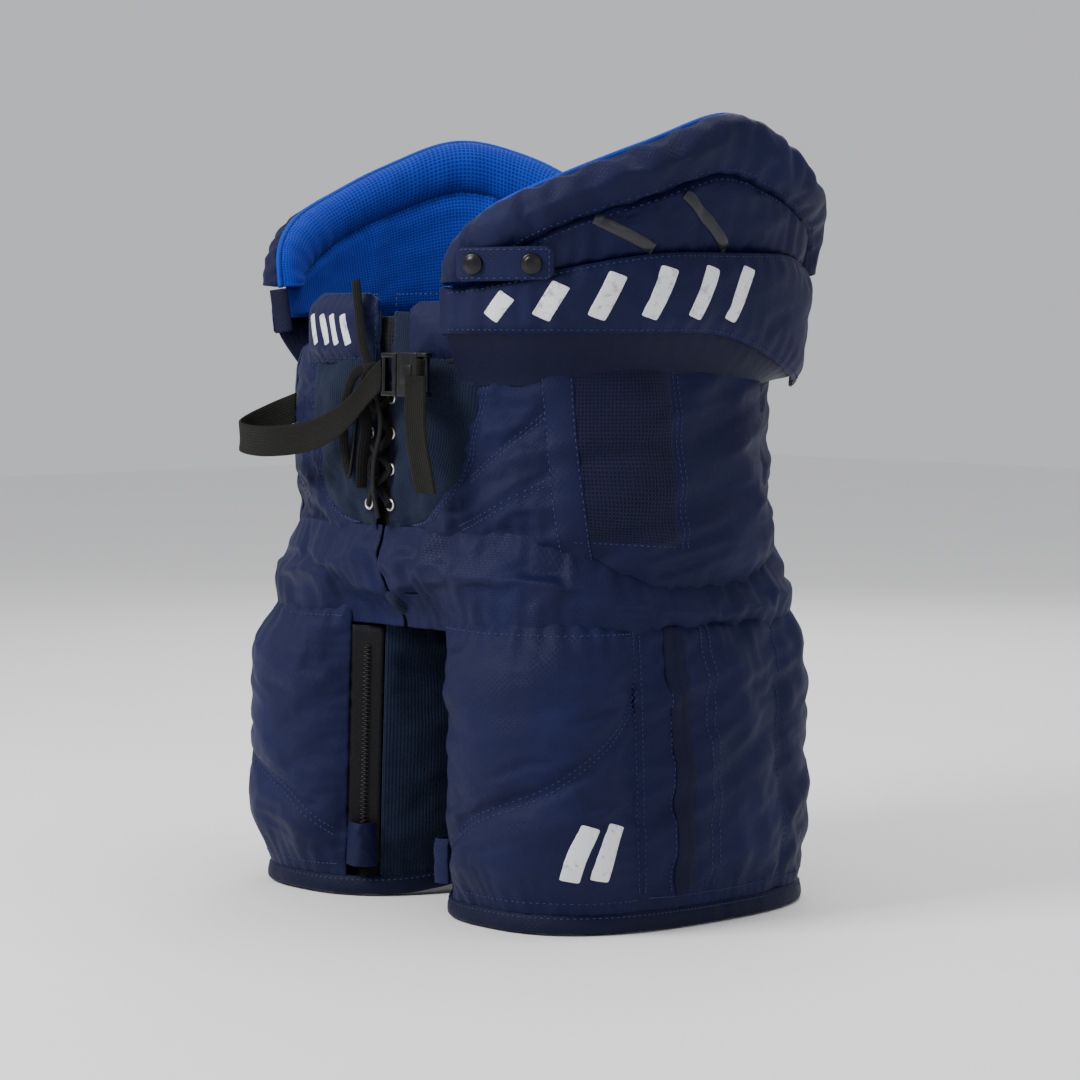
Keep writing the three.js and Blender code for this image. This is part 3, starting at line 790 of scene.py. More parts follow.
def trim_leg(side_name, side, leg, pad, outer, gusset):
    """What is sewn on once the shells have their shape."""
    for piece, node, slot in (
        (pad, "thigh_pad", "nylon_shell"),
        (outer, "outer_panel", "nylon_shell"),
        (gusset, "inner_gusset", "knit"),
    ):
        back_with(piece, 0.0022, 1)
        belongs(piece, leg, f"{side_name}_{node}", slot=slot)
    shells = surface_of(pad, outer, gusset)
    for i, (line, width) in enumerate(((OUTER_TAPE, 0.011), (SIDE_TAPE, 0.010))):
        tape = lay_tape(f"{side_name}_leg_tape_{i + 1}", shells, LEG, line, width, side, NAVY_DARK)
        belongs(tape, leg, slot="nylon_shell")
    rows = [beside(QUILTING, 0, 0.0028), beside(QUILTING, 0, -0.0028)]
    rows += [[(PAD[1] - 1.6, z) for z in (0.03, 0.1, 0.17, 0.23)]]
    rows += [[(angle, 0.2285) for angle in (254, 272, 296, 320)],
             [(angle, 0.0255) for angle in (254, 272, 296, 320)]]
    rows += [[(angle, 0.0255) for angle in (325, 360, 400, 450, 500)]]
    for angle in (323.6, 334.4, 339.4, 352.3, 357.0, 399.0, 401.0):
        rows.append([(angle, z) for z in (0.03, 0.1, 0.17, 0.232)])
    sew_stitches(f"{side_name}_leg_stitches", shells, LEG, rows, side, leg)
    for i in range(2 if side > 0 else 0):
        line = [(299 + 7.5 * i, 0.044), (301 + 7.5 * i, 0.064), (304.5 + 7.5 * i, 0.086)]
        lay_bar(f"{side_name}_thigh_bar_{i + 1}", shells, LEG, line, 0.0135, side, leg, 12, 4)
    hem = surface_of(bpy.data.objects[f"{side_name}_hem"])
    row = [[(angle, hem_edge(angle) + 0.0135) for angle in range(150, 500, 7)]]
    sew_stitches(f"{side_name}_hem_stitches", hem, LEG, row, side, leg)


# ---- Zips --------------------------------------------------------------------------------
ZIP_ANGLE = 246
ZIP_LOW, ZIP_HIGH = 0.044, 0.206
ZIP_SINK = -0.0008  # how far out of the leg's ring the zip lies
FLAP_LOW = 0.026


def surface_frame(ring, angle, z, side, offset=0.0):
    """Axes on a ring: x round it, y straight out, z up the surface."""
    origin = oval(ring, angle, z, offset, side)
    up = (oval(ring, angle, z + 0.01, offset, side) - origin).normalized()
    out = oval(ring, angle, z, offset + 0.01, side) - origin
    out = (out - up * out.dot(up)).normalized()
    turn = Matrix((up.cross(out) * -1, out, up)).transposed().to_4x4()
    turn.translation = origin
    return turn


def block(shape, size, at, frame_matrix, soften=0.0, segments=2):
    """A box with softened edges, at a place in a frame; gives back its vertices."""
    made = bmesh.ops.create_cube(shape, size=1)["verts"]
    for vert in made:
        vert.co = Vector((vert.co.x * size[0] + at[0], vert.co.y * size[1] + at[1],
                          vert.co.z * size[2] + at[2]))
    if soften:
        edges = list({edge for vert in made for edge in vert.link_edges})
        softened = bmesh.ops.bevel(
            shape, geom=edges, offset=soften, affect="EDGES", segments=segments, profile=0.5, material=-1
        )
        made = list({vert for vert in made if vert.is_valid} | set(softened["verts"]))
    bmesh.ops.transform(shape, matrix=frame_matrix, verts=made)
    return made


def make_zip(side_name, side):
    leg = f"{side_name}_leg"
    middle = (ZIP_LOW + ZIP_HIGH) / 2
    at = surface_frame(LEG, ZIP_ANGLE, middle, side, ZIP_SINK)
    long = ZIP_HIGH - ZIP_LOW

    tape = cloth_grid((8, 30), 0.026, long)
    for vert in tape.verts:
        vert.co = at @ Vector((vert.co.x * 0.027, -0.0006 + 0.0008 * abs(vert.co.x),
                               vert.co.y * (long + 0.03)))
    if side < 0:
        bmesh.ops.reverse_faces(tape, faces=tape.faces)
    bmesh.ops.reverse_faces(tape, faces=[f for f in tape.faces if f.normal.dot(at.to_3x3().col[1]) < 0])
    ribbon = new_piece(f"{side_name}_zip_ribbon", tape, BLACK_CLOTH)
    back_with(ribbon, 0.0009, 0)
    belongs(ribbon, leg, f"{side_name}_zip_tape", slot="zip_tape")

    teeth = bmesh.new()
    pitch = 0.0017
    for i in range(int(long / pitch)):
        lean = 0.0008 * (1 if i % 2 else -1)
        block(teeth, (0.0042, 0.0013, 0.0011), (lean, 0.0006, -long / 2 + pitch * (i + 0.5)), at, 0.0003, 1)
    chain = new_piece(f"{side_name}_zip_teeth", teeth, ZIP_PLASTIC)
    belongs(chain, leg, slot="black_plastic")

    rest = ZIP_LOW + 0.007
    here = surface_frame(LEG, ZIP_ANGLE, rest, side, ZIP_SINK)
    slider = bmesh.new()
    for lift, thick in ((0.0016, 0.0012), (0.0048, 0.0014)):
        cheek = block(slider, (0.0098, thick, 0.0118), (0, lift, 0), Matrix.Identity(4), 0.0005)
        for vert in cheek:
            vert.co.x *= 1 - 0.32 * smooth(vert.co.z, 0.000, -0.006)
        bmesh.ops.transform(slider, matrix=here, verts=cheek)
    block(slider, (0.0022, 0.0034, 0.0040), (0, 0.0032, 0.0034), here, 0.0004)
    block(slider, (0.0030, 0.0016, 0.0075), (0, 0.0060, 0.0004), here, 0.0006)
    body = new_piece(f"{side_name}_zip_slider_body", slider, ZIP_PLASTIC)
    belongs(body, f"{side_name}_slider", f"{side_name}_zip_slider", slot="black_plastic")

    pull = bmesh.new()
    block(pull, (0.0042, 0.0013, 0.0138), (0, 0.0074, -0.0040), here, 0.0005, 3)
    block(pull, (0.0052, 0.0018, 0.0050), (0, 0.0074, -0.0085), here, 0.0007, 3)
    tag = new_piece(f"{side_name}_zip_pull_tab", pull, ZIP_PLASTIC)
    belongs(tag, f"{side_name}_pull", f"{side_name}_zip_pull", slot="black_plastic")
    make_zip_flap(side_name, side)


def make_zip_flap(side_name, side):
    """The arched cover over the parked slider."""
    at = surface_frame(LEG, ZIP_ANGLE, FLAP_LOW, side, ZIP_SINK)
    cover = cloth_grid((22, 24), 0.03, 0.036)
    for vert in cover.verts:
        across, up = vert.co.x + 0.5, vert.co.y + 0.5
        rise = 0.0042 + 0.0105 * math.sin(math.pi * across) ** 0.8 - 0.0015 * smooth(up, 0.8, 1.0)
        rise += 0.0008 * noise.noise(Vector((across * 4, up * 5, side)))
        vert.co = at @ Vector((mix(-0.0132, 0.0132, across) * (1 - 0.08 * up), rise, mix(0.0, 0.0355, up)))
    outward = at.to_3x3().col[1]
    cover.normal_update()
    if sum(face.normal.dot(outward) for face in cover.faces) < 0:
        bmesh.ops.reverse_faces(cover, faces=cover.faces)
    flap = new_piece(f"{side_name}_zip_cover", cover, NAVY)
    back_with(flap, 0.0018, 1)
    belongs(flap, f"{side_name}_flap", f"{side_name}_zip_flap", slot="nylon_shell")


# ---- Girdle ------------------------------------------------------------------------------
def girdle_edge(angle):
    return 0.262 + 0.042 * smooth(abs(math.sin(math.radians(angle))), 0.15, 0.75)


HIP = (272.6, 420.2)
HIP_TOP = 0.448
SEAT_TOP = 0.470
FLANK_TAPE = [(324.5, 0.445), (325.5, 0.380), (328.0, 0.300), (330.5, 0.262)]
HIP_QUILTING = [
    [(300, 0.306), (308, 0.318), (322, 0.343)],
    [(304, 0.345), (312, 0.368), (322, 0.395)],
]


def make_hip_shell(side_name, side):
    start, end = HIP
    seed = start + side * 11
    wide = math.radians(end - start) * 0.16

    def shape(u, v):
        angle = mix(start, end, u)
        low = girdle_edge(angle) - 0.006
        z = mix(low, HIP_TOP, v)
        offset = 0.001 + 0.004 * pillow(u, v, 0.2)
        offset += puckers(u * wide, v * (HIP_TOP - low), 0.015, 0.0022, 0.02, seed)
        offset += puckers(v * (HIP_TOP - low), min(u, 1 - u) * wide, 0.016, 0.0014, 0.014, seed + 3)
        offset += crumple((angle * GIRDLE_DEGREE, z, 1), 0.06, 0.006, seed) * pillow(u, v, 0.1)
        offset += creases(angle * 0.0027, z, 0.0044, seed) * pillow(u, v, 0.06) * (1.25 - 0.7 * v)
        return angle, z, offset

    seams = [*HIP_QUILTING, [(388, 0.25), (386, 0.446)], KNIT_EDGE]
    swell = (1.3, 0.03, 0.006, 0.004)
    return sewn(f"{side_name}_hip_shell", NAVY, GIRDLE, shape, (120, 46), side, seams, 0.0028, swell)


def thigh_reach(angle, z):
    """How far the thigh stands out past the girdle's oval, seen from the middle of the girdle."""
    centre, a, b = LEG(z)
    here = oval(GIRDLE, angle, z, 0)
    way = Vector((here.x, here.y - SHIFT_Y))
    for step in range(60):
        share = 1.12 - 0.004 * step
        x, y = way.x * share, way.y * share
        if (abs(x - centre) / a) ** ROUNDNESS + (abs(y) / b) ** ROUNDNESS <= 1:
            return way.length * (share - 1)
    return -0.024


def make_fold(side_name, side):
    """Loose fabric between the thigh and the girdle."""

    def shape(u, v):
        angle = mix(270.4, 449.6, u)
        z = mix(0.223, girdle_edge(angle) + 0.002, v)
        full = math.sin(math.pi * smooth(v, 0.05, 1.0)) ** 0.8
        seam = sum(thigh_reach(angle + turn, 0.232) for turn in (-4, 0, 4)) / 3 + 0.0008
        offset = mix(seam, 0.001, smooth(v, 0.0, 0.75)) + 0.008 * full
        slant = z + 0.18 * math.sin(math.radians(angle * 2.1)) * 0.05
        offset += 0.0045 * full * noise.noise(Vector((angle * 0.045, slant * 62, side * 3.0)))
        offset += 0.0024 * full * noise.noise(Vector((angle * 0.13, slant * 110, side * 5.0)))
        offset += puckers(math.radians(angle) * 0.17, v * 0.06, 0.012, 0.0022, 0.02, side * 2)
        return angle, z, offset

    return sewn(f"{side_name}_hip_fold", NAVY, GIRDLE, shape, (120, 20), side,
                swell=(1.2, 0.06, 0.006, 0.005))


KNIT_EDGE = [(281, 0.306), (292, 0.316), (300, 0.345), (304, 0.385), (308, 0.430), (309, 0.470)]
MESH_EDGES = [(327.5, 0.300), (326.5, 0.37), (327, 0.440)], [(351, 0.292), (350.5, 0.37), (350, 0.440)]


def make_girdle_side(side_name, side):
    return make_hip_shell(side_name, side), make_fold(side_name, side)


def trim_girdle_side(side_name, side, shell, fold):
    back_with(fold, 0.0018, 1)
    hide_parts(f"{side_name}_fold_panel")
    back_with(shell, 0.002, 1)
    belongs(shell, "girdle", f"{side_name}_hip_panel", slot="nylon_shell")
    cloth = surface_of(shell)
    knit_side = [(272.8, 0.300), (272.8, 0.345), (272.8, 0.385), (272.8, 0.430), (272.8, 0.474)]
    panel = lay_patch(f"{side_name}_hip_knit", cloth, GIRDLE, knit_side, KNIT_EDGE, side, TEAL_KNIT, 0.0008)
    belongs(panel, "girdle", f"{side_name}_facing", slot="knit")
    mesh = lay_patch(f"{side_name}_hip_mesh", cloth, GIRDLE, *MESH_EDGES, side, NAVY_MESH, 0.0008)
    belongs(mesh, "girdle", slot="nylon_shell")
    shells = surface_of(shell, panel, mesh)
    if side > 0:
        label = lay_patch("belt_label", cloth, GIRDLE, [(296.5, 0.4315), (296.5, 0.4375), (296.5, 0.4435)],
                          [(305.0, 0.4335), (305.0, 0.4395), (305.0, 0.4455)], side, BLACK_CLOTH, 0.0026,
                          0.0008, (12, 5))
        belongs(label, "girdle", slot="nylon_shell")
    tape = lay_tape(f"{side_name}_flank_tape", shells, GIRDLE, FLANK_TAPE, 0.024, side, NAVY,
                    thickness=0.0014)
    belongs(tape, "girdle", slot="nylon_shell")
    shells += surface_of(tape)
    rows = []
    for line in HIP_QUILTING:
        rows += [beside(line, 0, 0.0022), beside(line, 0, -0.0022)]
    rows += [beside(FLANK_TAPE, -3.2), beside(FLANK_TAPE, 2.9), beside(KNIT_EDGE, 0.5),
             beside(KNIT_EDGE, 1.6)]
    rows += [beside(MESH_EDGES[1], 0.7), beside(MESH_EDGES[1], 2.0),
             [(mix(328, 350, i / 5), 0.2985 - 0.001 * i) for i in range(6)]]
    rows += [[(418.5, z) for z in (0.30, 0.36, 0.44)], [(387.2, z) for z in (0.29, 0.36, 0.44)]]
    sew_stitches(f"{side_name}_hip_stitches", shells, GIRDLE, rows, side, "girdle")
    girdle_low = oval(GIRDLE, 360, 0.292, 0, side)
    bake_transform(fold)
    flat_size(fold)


def flat_size(piece):
    """The width and length that a sheet was cut to, from its own UV, with what its folds take up."""
    uv = piece.data.uv_layers[0].data
    width = max(spot.uv[0] for spot in uv)
    area = sum(face.area for face in piece.data.polygons)
    return (width, area / width)


def make_seat():
    def shape(u, v):
        angle = mix(59.8, 120.2, u)
        z = mix(girdle_edge(angle) - 0.006, SEAT_TOP, v)
        offset = 0.001 + 0.007 * pillow(u, v, 0.2) + crumple((angle * GIRDLE_DEGREE, z, 9), 0.05, 0.004,
                                                             3) * pillow(u, v, 0.1)
        offset += puckers(u * 0.16, (1 - v) * 0.17, 0.013, 0.0024, 0.02, 8)
        return angle, z, offset

    return sewn("seat", NAVY, GIRDLE, shape, (50, 42), 1, [[(90, 0.30), (90, 0.472)]], 0.003,
                (1.6, 0.035, 0.006, 0.003))


def trim_seat(seat):
    back_with(seat, 0.002, 1)
    belongs(seat, "girdle", "seat_panel", slot="nylon_shell")
    trees = surface_of(seat)
    rows = [[(angle, z) for z in (0.31, 0.36, 0.42, 0.466)] for angle in (61.5, 89.2, 90.8, 118.5)]
    rows += [[(angle, 0.4655) for angle in (62, 75, 90, 105, 118)]]
    sew_stitches("seat_stitches", trees, GIRDLE, rows, 1, "girdle")


def make_tongue():
    def shape(u, v):
        angle = mix(258.5, 281.5, u)
        z = mix(0.300, 0.470, v)
        return angle, z, -0.0065 + crumple((angle * GIRDLE_DEGREE, z, 2), 0.02, 0.0022, 6)

    tongue = sewn("fly_tongue", BLACK_MESH, GIRDLE, shape, (24, 40))
    back_with(tongue, 0.003, 1)
    belongs(tongue, "girdle", "tongue", slot="knit")


SADDLE_WIDE, SADDLE_REACH, SADDLE_DIP = 0.096, 0.149, 0.030


def make_gusset():
    """The saddle of knit between the legs."""
    saddle = cloth_grid((36, 60), 0.10, 0.29)
    for vert in saddle.verts:
        across, along = vert.co.x, vert.co.y + 0.5
        x = across * SADDLE_WIDE
        dip = SADDLE_DIP * math.exp(-((x / 0.0068) ** 4)) * math.sin(math.pi * along) ** 0.4
        z = 0.2415 - dip + 0.012 * abs(2
                                       * along - 1) ** 3 + 0.001 * noise.noise(Vector((x * 60, along * 8, 0)))
        vert.co = Vector((x, mix(-SADDLE_REACH, SADDLE_REACH, along) + SHIFT_Y, z))
    saddle.normal_update()
    gusset = new_piece("crotch_saddle", saddle, TEAL_KNIT)
    back_with(gusset, 0.0024, 1)
    belongs(gusset, "girdle", "crotch_gusset", slot="knit")


# ---- Fly, lace and waist -----------------------------------------------------------------
EYELETS = [0.322 + 0.028 * i for i in range(4)]
EYELET_X = 0.013


def fly_y(z):
    """The front of the girdle at a height."""
    return oval(GIRDLE, FRONT, z, 0).y


def make_eyelets(side_name, side):
    band = cloth_grid((6, 40), 0.014, 0.11)
    for vert in band.verts:
        x = EYELET_X + 0.0008 + vert.co.x * 0.0145
        z = mix(0.309, 0.419, vert.co.y + 0.5)
        edge = 0.0012 * (1 - (2 * abs(vert.co.x)) ** 4)
        vert.co = Vector((side * x, fly_y(z) - 0.0012 - edge + 0.0006
                          * noise.noise(Vector((x * 90, z * 60, side))), z))
    bmesh.ops.recalc_face_normals(band, faces=band.faces)
    band.normal_update()
    if sum(face.normal.y for face in band.faces) > 0:
        bmesh.ops.reverse_faces(band, faces=band.faces)
    strip = new_piece(f"{side_name}_eyelet_band", band, NAVY_DARK)
    back_with(strip, 0.0014, 1)
    belongs(strip, "girdle", f"{side_name}_eyelet_strip", slot="eyelets")
    rings = bmesh.new()
    for z in EYELETS:
        hoop = bmesh.new()
        bmesh.ops.create_circle(hoop, segments=8, radius=0.00105)
        hoop.transform(Matrix.Translation((0.0040, 0, 0)) @ Matrix.Rotation(math.pi / 2, 4, "X"))
        bmesh.ops.spin(hoop, geom=hoop.verts[:] + hoop.edges[:], cent=(0, 0, 0), axis=(0, 0, 1),
                       angle=2 * math.pi,
                       steps=24, use_merge=True)
        hoop.transform(Matrix.Translation((side * EYELET_X, fly_y(z) - 0.0050,
                                           z)) @ Matrix.Rotation(math.pi / 2, 4, "X"))
        whole = bpy.data.meshes.new("hoop")
        hoop.to_mesh(whole)
        hoop.free()
        rings.from_mesh(whole)
        bpy.data.meshes.remove(whole)
    bmesh.ops.recalc_face_normals(rings, faces=rings.faces)
    metal_rings = new_piece(f"{side_name}_eyelet_rings", rings, EYELET_METAL)
    belongs(metal_rings, "girdle", slot="eyelets")


def make_waist_front(side_name, side):
    def shape(u, v):
        angle = mix(273.4 if side < 0 else 280.5, 312.4, u)
        top = (0.489 if side < 0 else 0.482) - 0.020 * smooth(u, 0.72, 1.0) ** 2 - 0.006 * smooth(1 - u,
                                                                                                  0.85, 1.0)
        z = mix(0.431, top, v)
        wide = 0.11
        offset = 0.0012 + 0.0088 * pillow(u, v, 0.24)
        offset += puckers(u * wide, min(v, 1 - v) * 0.058, 0.011, 0.0010, 0.010, side * 4)
        return angle, z, offset + crumple((angle * GIRDLE_DEGREE, z, 3), 0.03, 0.0012, side)

    return sewn(f"{side_name}_waist_front", NAVY, GIRDLE, shape, (40, 22), side,
                swell=(1.6, 0.02, 0.003, 0.002))


def trim_waist_front(side_name, side, panel):
    back_with(panel, 0.003, 1)
    belongs(panel, "girdle", f"{side_name}_waist_panel", slot="nylon_shell")
    trees = surface_of(panel)
    rows = [[(angle, z) for angle in (274.5, 285, 297, 311)] for z in (0.434, 0.4365)]
    rows += [[(274.3, 0.487), (285, 0.487), (298, 0.4865), (306, 0.479), (311.5, 0.469)]]
    rows += [[(274.4, z) for z in (0.436, 0.455, 0.485)]]
    sew_stitches(f"{side_name}_waist_stitches", trees, GIRDLE, rows, side, "girdle")
    if side < 0:
        for i in range(4):
            start = 283 + 5.6 * i
            line = [(start, 0.447), (start + 1.5, 0.459), (start + 3, 0.471)]
            lay_bar(f"{side_name}_waist_bar_{i + 1}", trees, GIRDLE, line, 0.0085, side, "girdle", 8, 2)


def lace_route(start, rise):
    """One half of the lace: across the fly from eyelet to eyelet."""
    route = []
    for i, z in enumerate(EYELETS):
        x = (-1 if i % 2 else 1) * start * EYELET_X
        route.append((x, fly_y(z) - 0.0065, z))
        if i < len(EYELETS) - 1:
            route.append((0, fly_y(z) - rise, z + 0.014))
    return route


def length_of(route, steps=400):
    return length_through([spline(route, i / steps) for i in range(steps + 1)])


KNOT = Vector((-0.004, fly_y(0.425) - 0.012, 0.428))


def make_lace():
    for name, start, rise in (("lace_a", 1, 0.0065), ("lace_b", -1, 0.0115)):
        route = lace_route(start, rise)
        lace = tube_along(f"{name}_braid", route, 0.0038, LACE, sides=12, flat=0.36, path_steps=8)
        belongs(lace, "girdle", name, slot="lace")
        length_of(route)
    k = KNOT
    loop = [k, (-0.020, k.y - 0.004, 0.424), (-0.030, k.y - 0.006, 0.398), (-0.033, k.y - 0.004, 0.362),
            (-0.028, k.y - 0.003, 0.345), (-0.021, k.y - 0.005, 0.362), (-0.015, k.y - 0.003, 0.400), k]
    tail = [k, (-0.012, k.y - 0.002, 0.446), (-0.019, k.y, 0.470), (-0.024, k.y + 0.001, 0.498)]
    second = [k, (0.007, k.y - 0.005, 0.412), (0.012, k.y - 0.004, 0.385), (0.005, k.y - 0.005, 0.356),
              (0.003, k.y - 0.004, 0.332), (0.008, k.y - 0.003, 0.312)]
    third = [k, (-0.008, k.y - 0.006, 0.410), (-0.002, k.y - 0.007, 0.386), (-0.008, k.y - 0.006, 0.360),
             (-0.012, k.y - 0.004, 0.335)]
    knot = bmesh.new()
    for turn, size in ((0.5, 1.0), (-0.6, 0.92), (1.4, 0.7)):
        wrap = bmesh.ops.create_icosphere(knot, subdivisions=3, radius=0.0075)["verts"]
        bmesh.ops.scale(knot, vec=(1.15 * size, 0.72, 0.62), verts=wrap)
        bmesh.ops.rotate(knot, verts=wrap, cent=(0, 0, 0), matrix=Matrix.Rotation(turn, 3, "Y"))
        bmesh.ops.translate(knot, verts=wrap, vec=k)
    tied = new_piece("bow_knot", knot, LACE)
    belongs(tied, "girdle", slot="lace")
    for name, route, end in (("bow_loop", loop, "object"), ("bow_tail", tail, "bare"),
                             ("bow_end", second, "bare"),
                             ("bow_short_end", third, "bare")):
        piece = tube_along(name, route, 0.0045, LACE, sides=12, flat=0.30, path_steps=8)
        belongs(piece, "girdle", "lace_bow", slot="lace")
        length_of(route)


# ---- Belt and buckle ---------------------------------------------------------------------
BELT = [
    (-0.138, -0.134, 0.395), (-0.158, -0.142, 0.387), (-0.171, -0.158, 0.377), (-0.158, -0.176, 0.371),
    (-0.112, -0.184, 0.369), (-0.058, -0.182, 0.375), (-0.016, -0.181, 0.391),
]
BUCKLE_AT = surface_frame(GIRDLE, 287, 0.425, 1, 0.027)
BUCKLE_AT = BUCKLE_AT @ Matrix.Rotation(math.pi, 4, "Z")  # +X toward the left hip, -Y outward


def band_of_webbing(name, route, width, width_way):
    """Webbing along a route, its width held along one direction."""
    steps = 9 * (len(route) - 1)
    web = cloth_grid((steps, 6), length_of(route), width, 0.5, 0.5)
    way = Vector(width_way)
    for vert in web.verts:
        t, share = vert.co.x + 0.5, vert.co.y
        point = spline(route, t)
        along = (spline(route, min(1, t + 0.01)) - spline(route, max(0, t - 0.01))).normalized()
        across = along.cross(way).normalized()
        cup = 0.0010 * (4 * share * share - 0.5) + 0.0006 * noise.noise(Vector((t * 9, share * 2, 4.0)))
        vert.co = point + way * (share * width) + across * cup
    web.normal_update()
    piece = new_piece(name, web, WEBBING)
    back_with(piece, 0.0020, 1)
    piece.modifiers["wall"].offset = 0
    return piece


def make_belt():
    start = BUCKLE_AT @ Vector((-0.0205, 0, 0))
    route = [Vector((x, y + SHIFT_Y, z)) for x, y, z in BELT] + [start + Vector((-0.014, -0.001, -0.010)),
                                                                 start]
    strap = band_of_webbing("waist_belt", route, 0.025, (0, 0, 1))
    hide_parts("belt_strap")
    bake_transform(strap)
    low = BUCKLE_AT @ Vector((0.024, -0.0070, -0.011))
    tail_route = [low + Vector((0, 0, 0.010)), low, low + Vector((0.004, -0.003, -0.034)),
                  low + Vector((0.010, 0.002, -0.080))]
    tail = band_of_webbing("belt_free_end", tail_route, 0.025, (1, 0, 0))
    belongs(tail, "girdle", "belt_tail", slot="webbing")
    turned = [BUCKLE_AT @ Vector((x, y, 0)) for x,
              y in ((0.019, -0.0052), (0.0255, -0.0062), (0.0285, -0.001), (0.0250, 0.0052), (0.017, 0.0055))]
    fold = band_of_webbing("belt_turn", turned, 0.0245, tuple(BUCKLE_AT.to_3x3().col[2]))
    belongs(fold, "girdle", slot="webbing")
    make_buckle()


def make_buckle():
    """Side-release buckle: a socket with a window at each side, and a clip with two sprung prongs."""
    socket = bmesh.new()
    for lift in (-0.0036, 0.0036):
        block(socket, (0.0215, 0.0018, 0.034), (0.01075, lift, 0), BUCKLE_AT, 0.0008, 3)
        block(socket, (0.0120, 0.0010, 0.0150), (0.0105, lift * 1.32, 0), BUCKLE_AT, 0.0005, 2)
    for end in (-1, 1):
        block(socket, (0.0060, 0.0088, 0.0034), (0.0185, 0, end * 0.0152), BUCKLE_AT, 0.0010, 3)
        block(socket, (0.0110, 0.0080, 0.0038), (0.0255, 0, end * 0.0150), BUCKLE_AT, 0.0012, 3)
        block(socket, (0.0034, 0.0070, 0.0030), (0.0020, 0, end * 0.0154), BUCKLE_AT, 0.0008, 2)
    block(socket, (0.0036, 0.0052, 0.030), (0.0285, 0, 0), BUCKLE_AT, 0.0014, 3)
    block(socket, (0.0032, 0.0060, 0.030), (0.0205, 0, 0), BUCKLE_AT, 0.0012, 3)
    belongs(new_piece("buckle_body", socket, PLASTIC), "girdle", "buckle_socket", slot="black_plastic")
    clip = bmesh.new()
    block(clip, (0.0040, 0.0086, 0.034), (-0.0030, 0, 0), BUCKLE_AT, 0.0012, 3)
    for end in (-1, 1):
        block(clip, (0.0160, 0.0074, 0.0040), (-0.0105, 0, end * 0.0148), BUCKLE_AT, 0.0012, 3)
        block(clip, (0.0135, 0.0036, 0.0034), (0.0050, 0, end * 0.0118), BUCKLE_AT, 0.0010, 3)
        block(clip, (0.0050, 0.0036, 0.0026), (0.0085, 0, end * 0.0138), BUCKLE_AT, 0.0009, 3)
    block(clip, (0.0120, 0.0030, 0.0060), (0.0040, 0, 0), BUCKLE_AT, 0.0009, 3)
    block(clip, (0.0034, 0.0058, 0.030), (-0.0165, 0, 0), BUCKLE_AT, 0.0014, 3)
    belongs(new_piece("buckle_fork", clip, PLASTIC), "clip", "buckle_clip", slot="black_plastic")


# ---- Wings -------------------------------------------------------------------------------
WING_FRONT, WING_BACK = -78, 24
RIM_OUTER = [
    (WING_FRONT, 0.494), (-76, 0.523), (-67, 0.551), (-54, 0.574), (-38, 0.600),
    (-22, 0.622), (-8, 0.610), (6, 0.582), (18, 0.548), (WING_BACK, 0.502),
]
RIM_INNER = [
    (-70, 0.496), (-68, 0.503), (-62, 0.518), (-52, 0.538), (-38, 0.558),
    (-22, 0.577), (-9, 0.565), (2, 0.548), (12, 0.531), (18, 0.503),
]
STRIPES = [[(-47.5, 0.543), (-42, 0.5315), (-36.5, 0.520)], [(-31, 0.562), (-25, 0.542), (-19, 0.5215)]]


def band_low(angle):
    return mix(0.456, 0.412, smooth(angle, -25, WING_BACK))


def band_top(angle):
    return 0.491 + 0.028 * smooth(angle, WING_FRONT, -30) - 0.022 * smooth(angle, -5, WING_BACK)


def rim_strip(name, material, side, lift, depth, cells, swell):
    """The half-round roll round a wing's edge; a negative depth rolls inward."""

    def shape(u, v):
        near_line, far_line = spline(RIM_INNER, u), spline(RIM_OUTER, u)
        share = 0.5 - 0.5 * math.cos(math.pi * v)
        angle, z = near_line.lerp(far_line, share)
        walk = u * 0.36
        gather = puckers(walk, min(v, 1 - v) * 0.05, 0.017, 0.0020, 0.016, side * 5 + depth * 90)
        soft = crumple((walk, v * 0.05, 0), 0.05, 0.0022, side + 3) * math.sin(math.pi * v)
        return angle, z, lift + depth * math.sin(math.pi * v) ** 0.8 + (gather + soft) * math.copysign(1,
                                                                                                       depth)

    return sewn(name, material, WING, shape, cells, side, swell=swell)


def wing_patch(name, material, side, start, end, low, high, lift, depth, cells, seams=(), swell=None,
               fold=0.0015, ring=WING):
    def shape(u, v):
        angle = mix(start, end, u)
        z = mix(low(angle), high(angle), v)
        wide, tall = math.radians(end - start) * 0.2, max(high(angle) - low(angle), 0.01)
        offset = lift + depth * pillow(u, v, 0.16)
        offset += puckers(u * wide, min(v, 1 - v) * tall, 0.014, 0.0014, 0.014, side + depth * 70)
        return angle, z, offset + crumple((angle * 0.003, z, 5), 0.05, fold,
                                          side + lift * 50) + creases(angle * 0.0032, z, 0.0009, lift * 30)

    return sewn(name, material, ring, shape, cells, side, seams, 0.0025, swell)


def face_inward(piece):
    piece.data.flip_normals()
    return piece


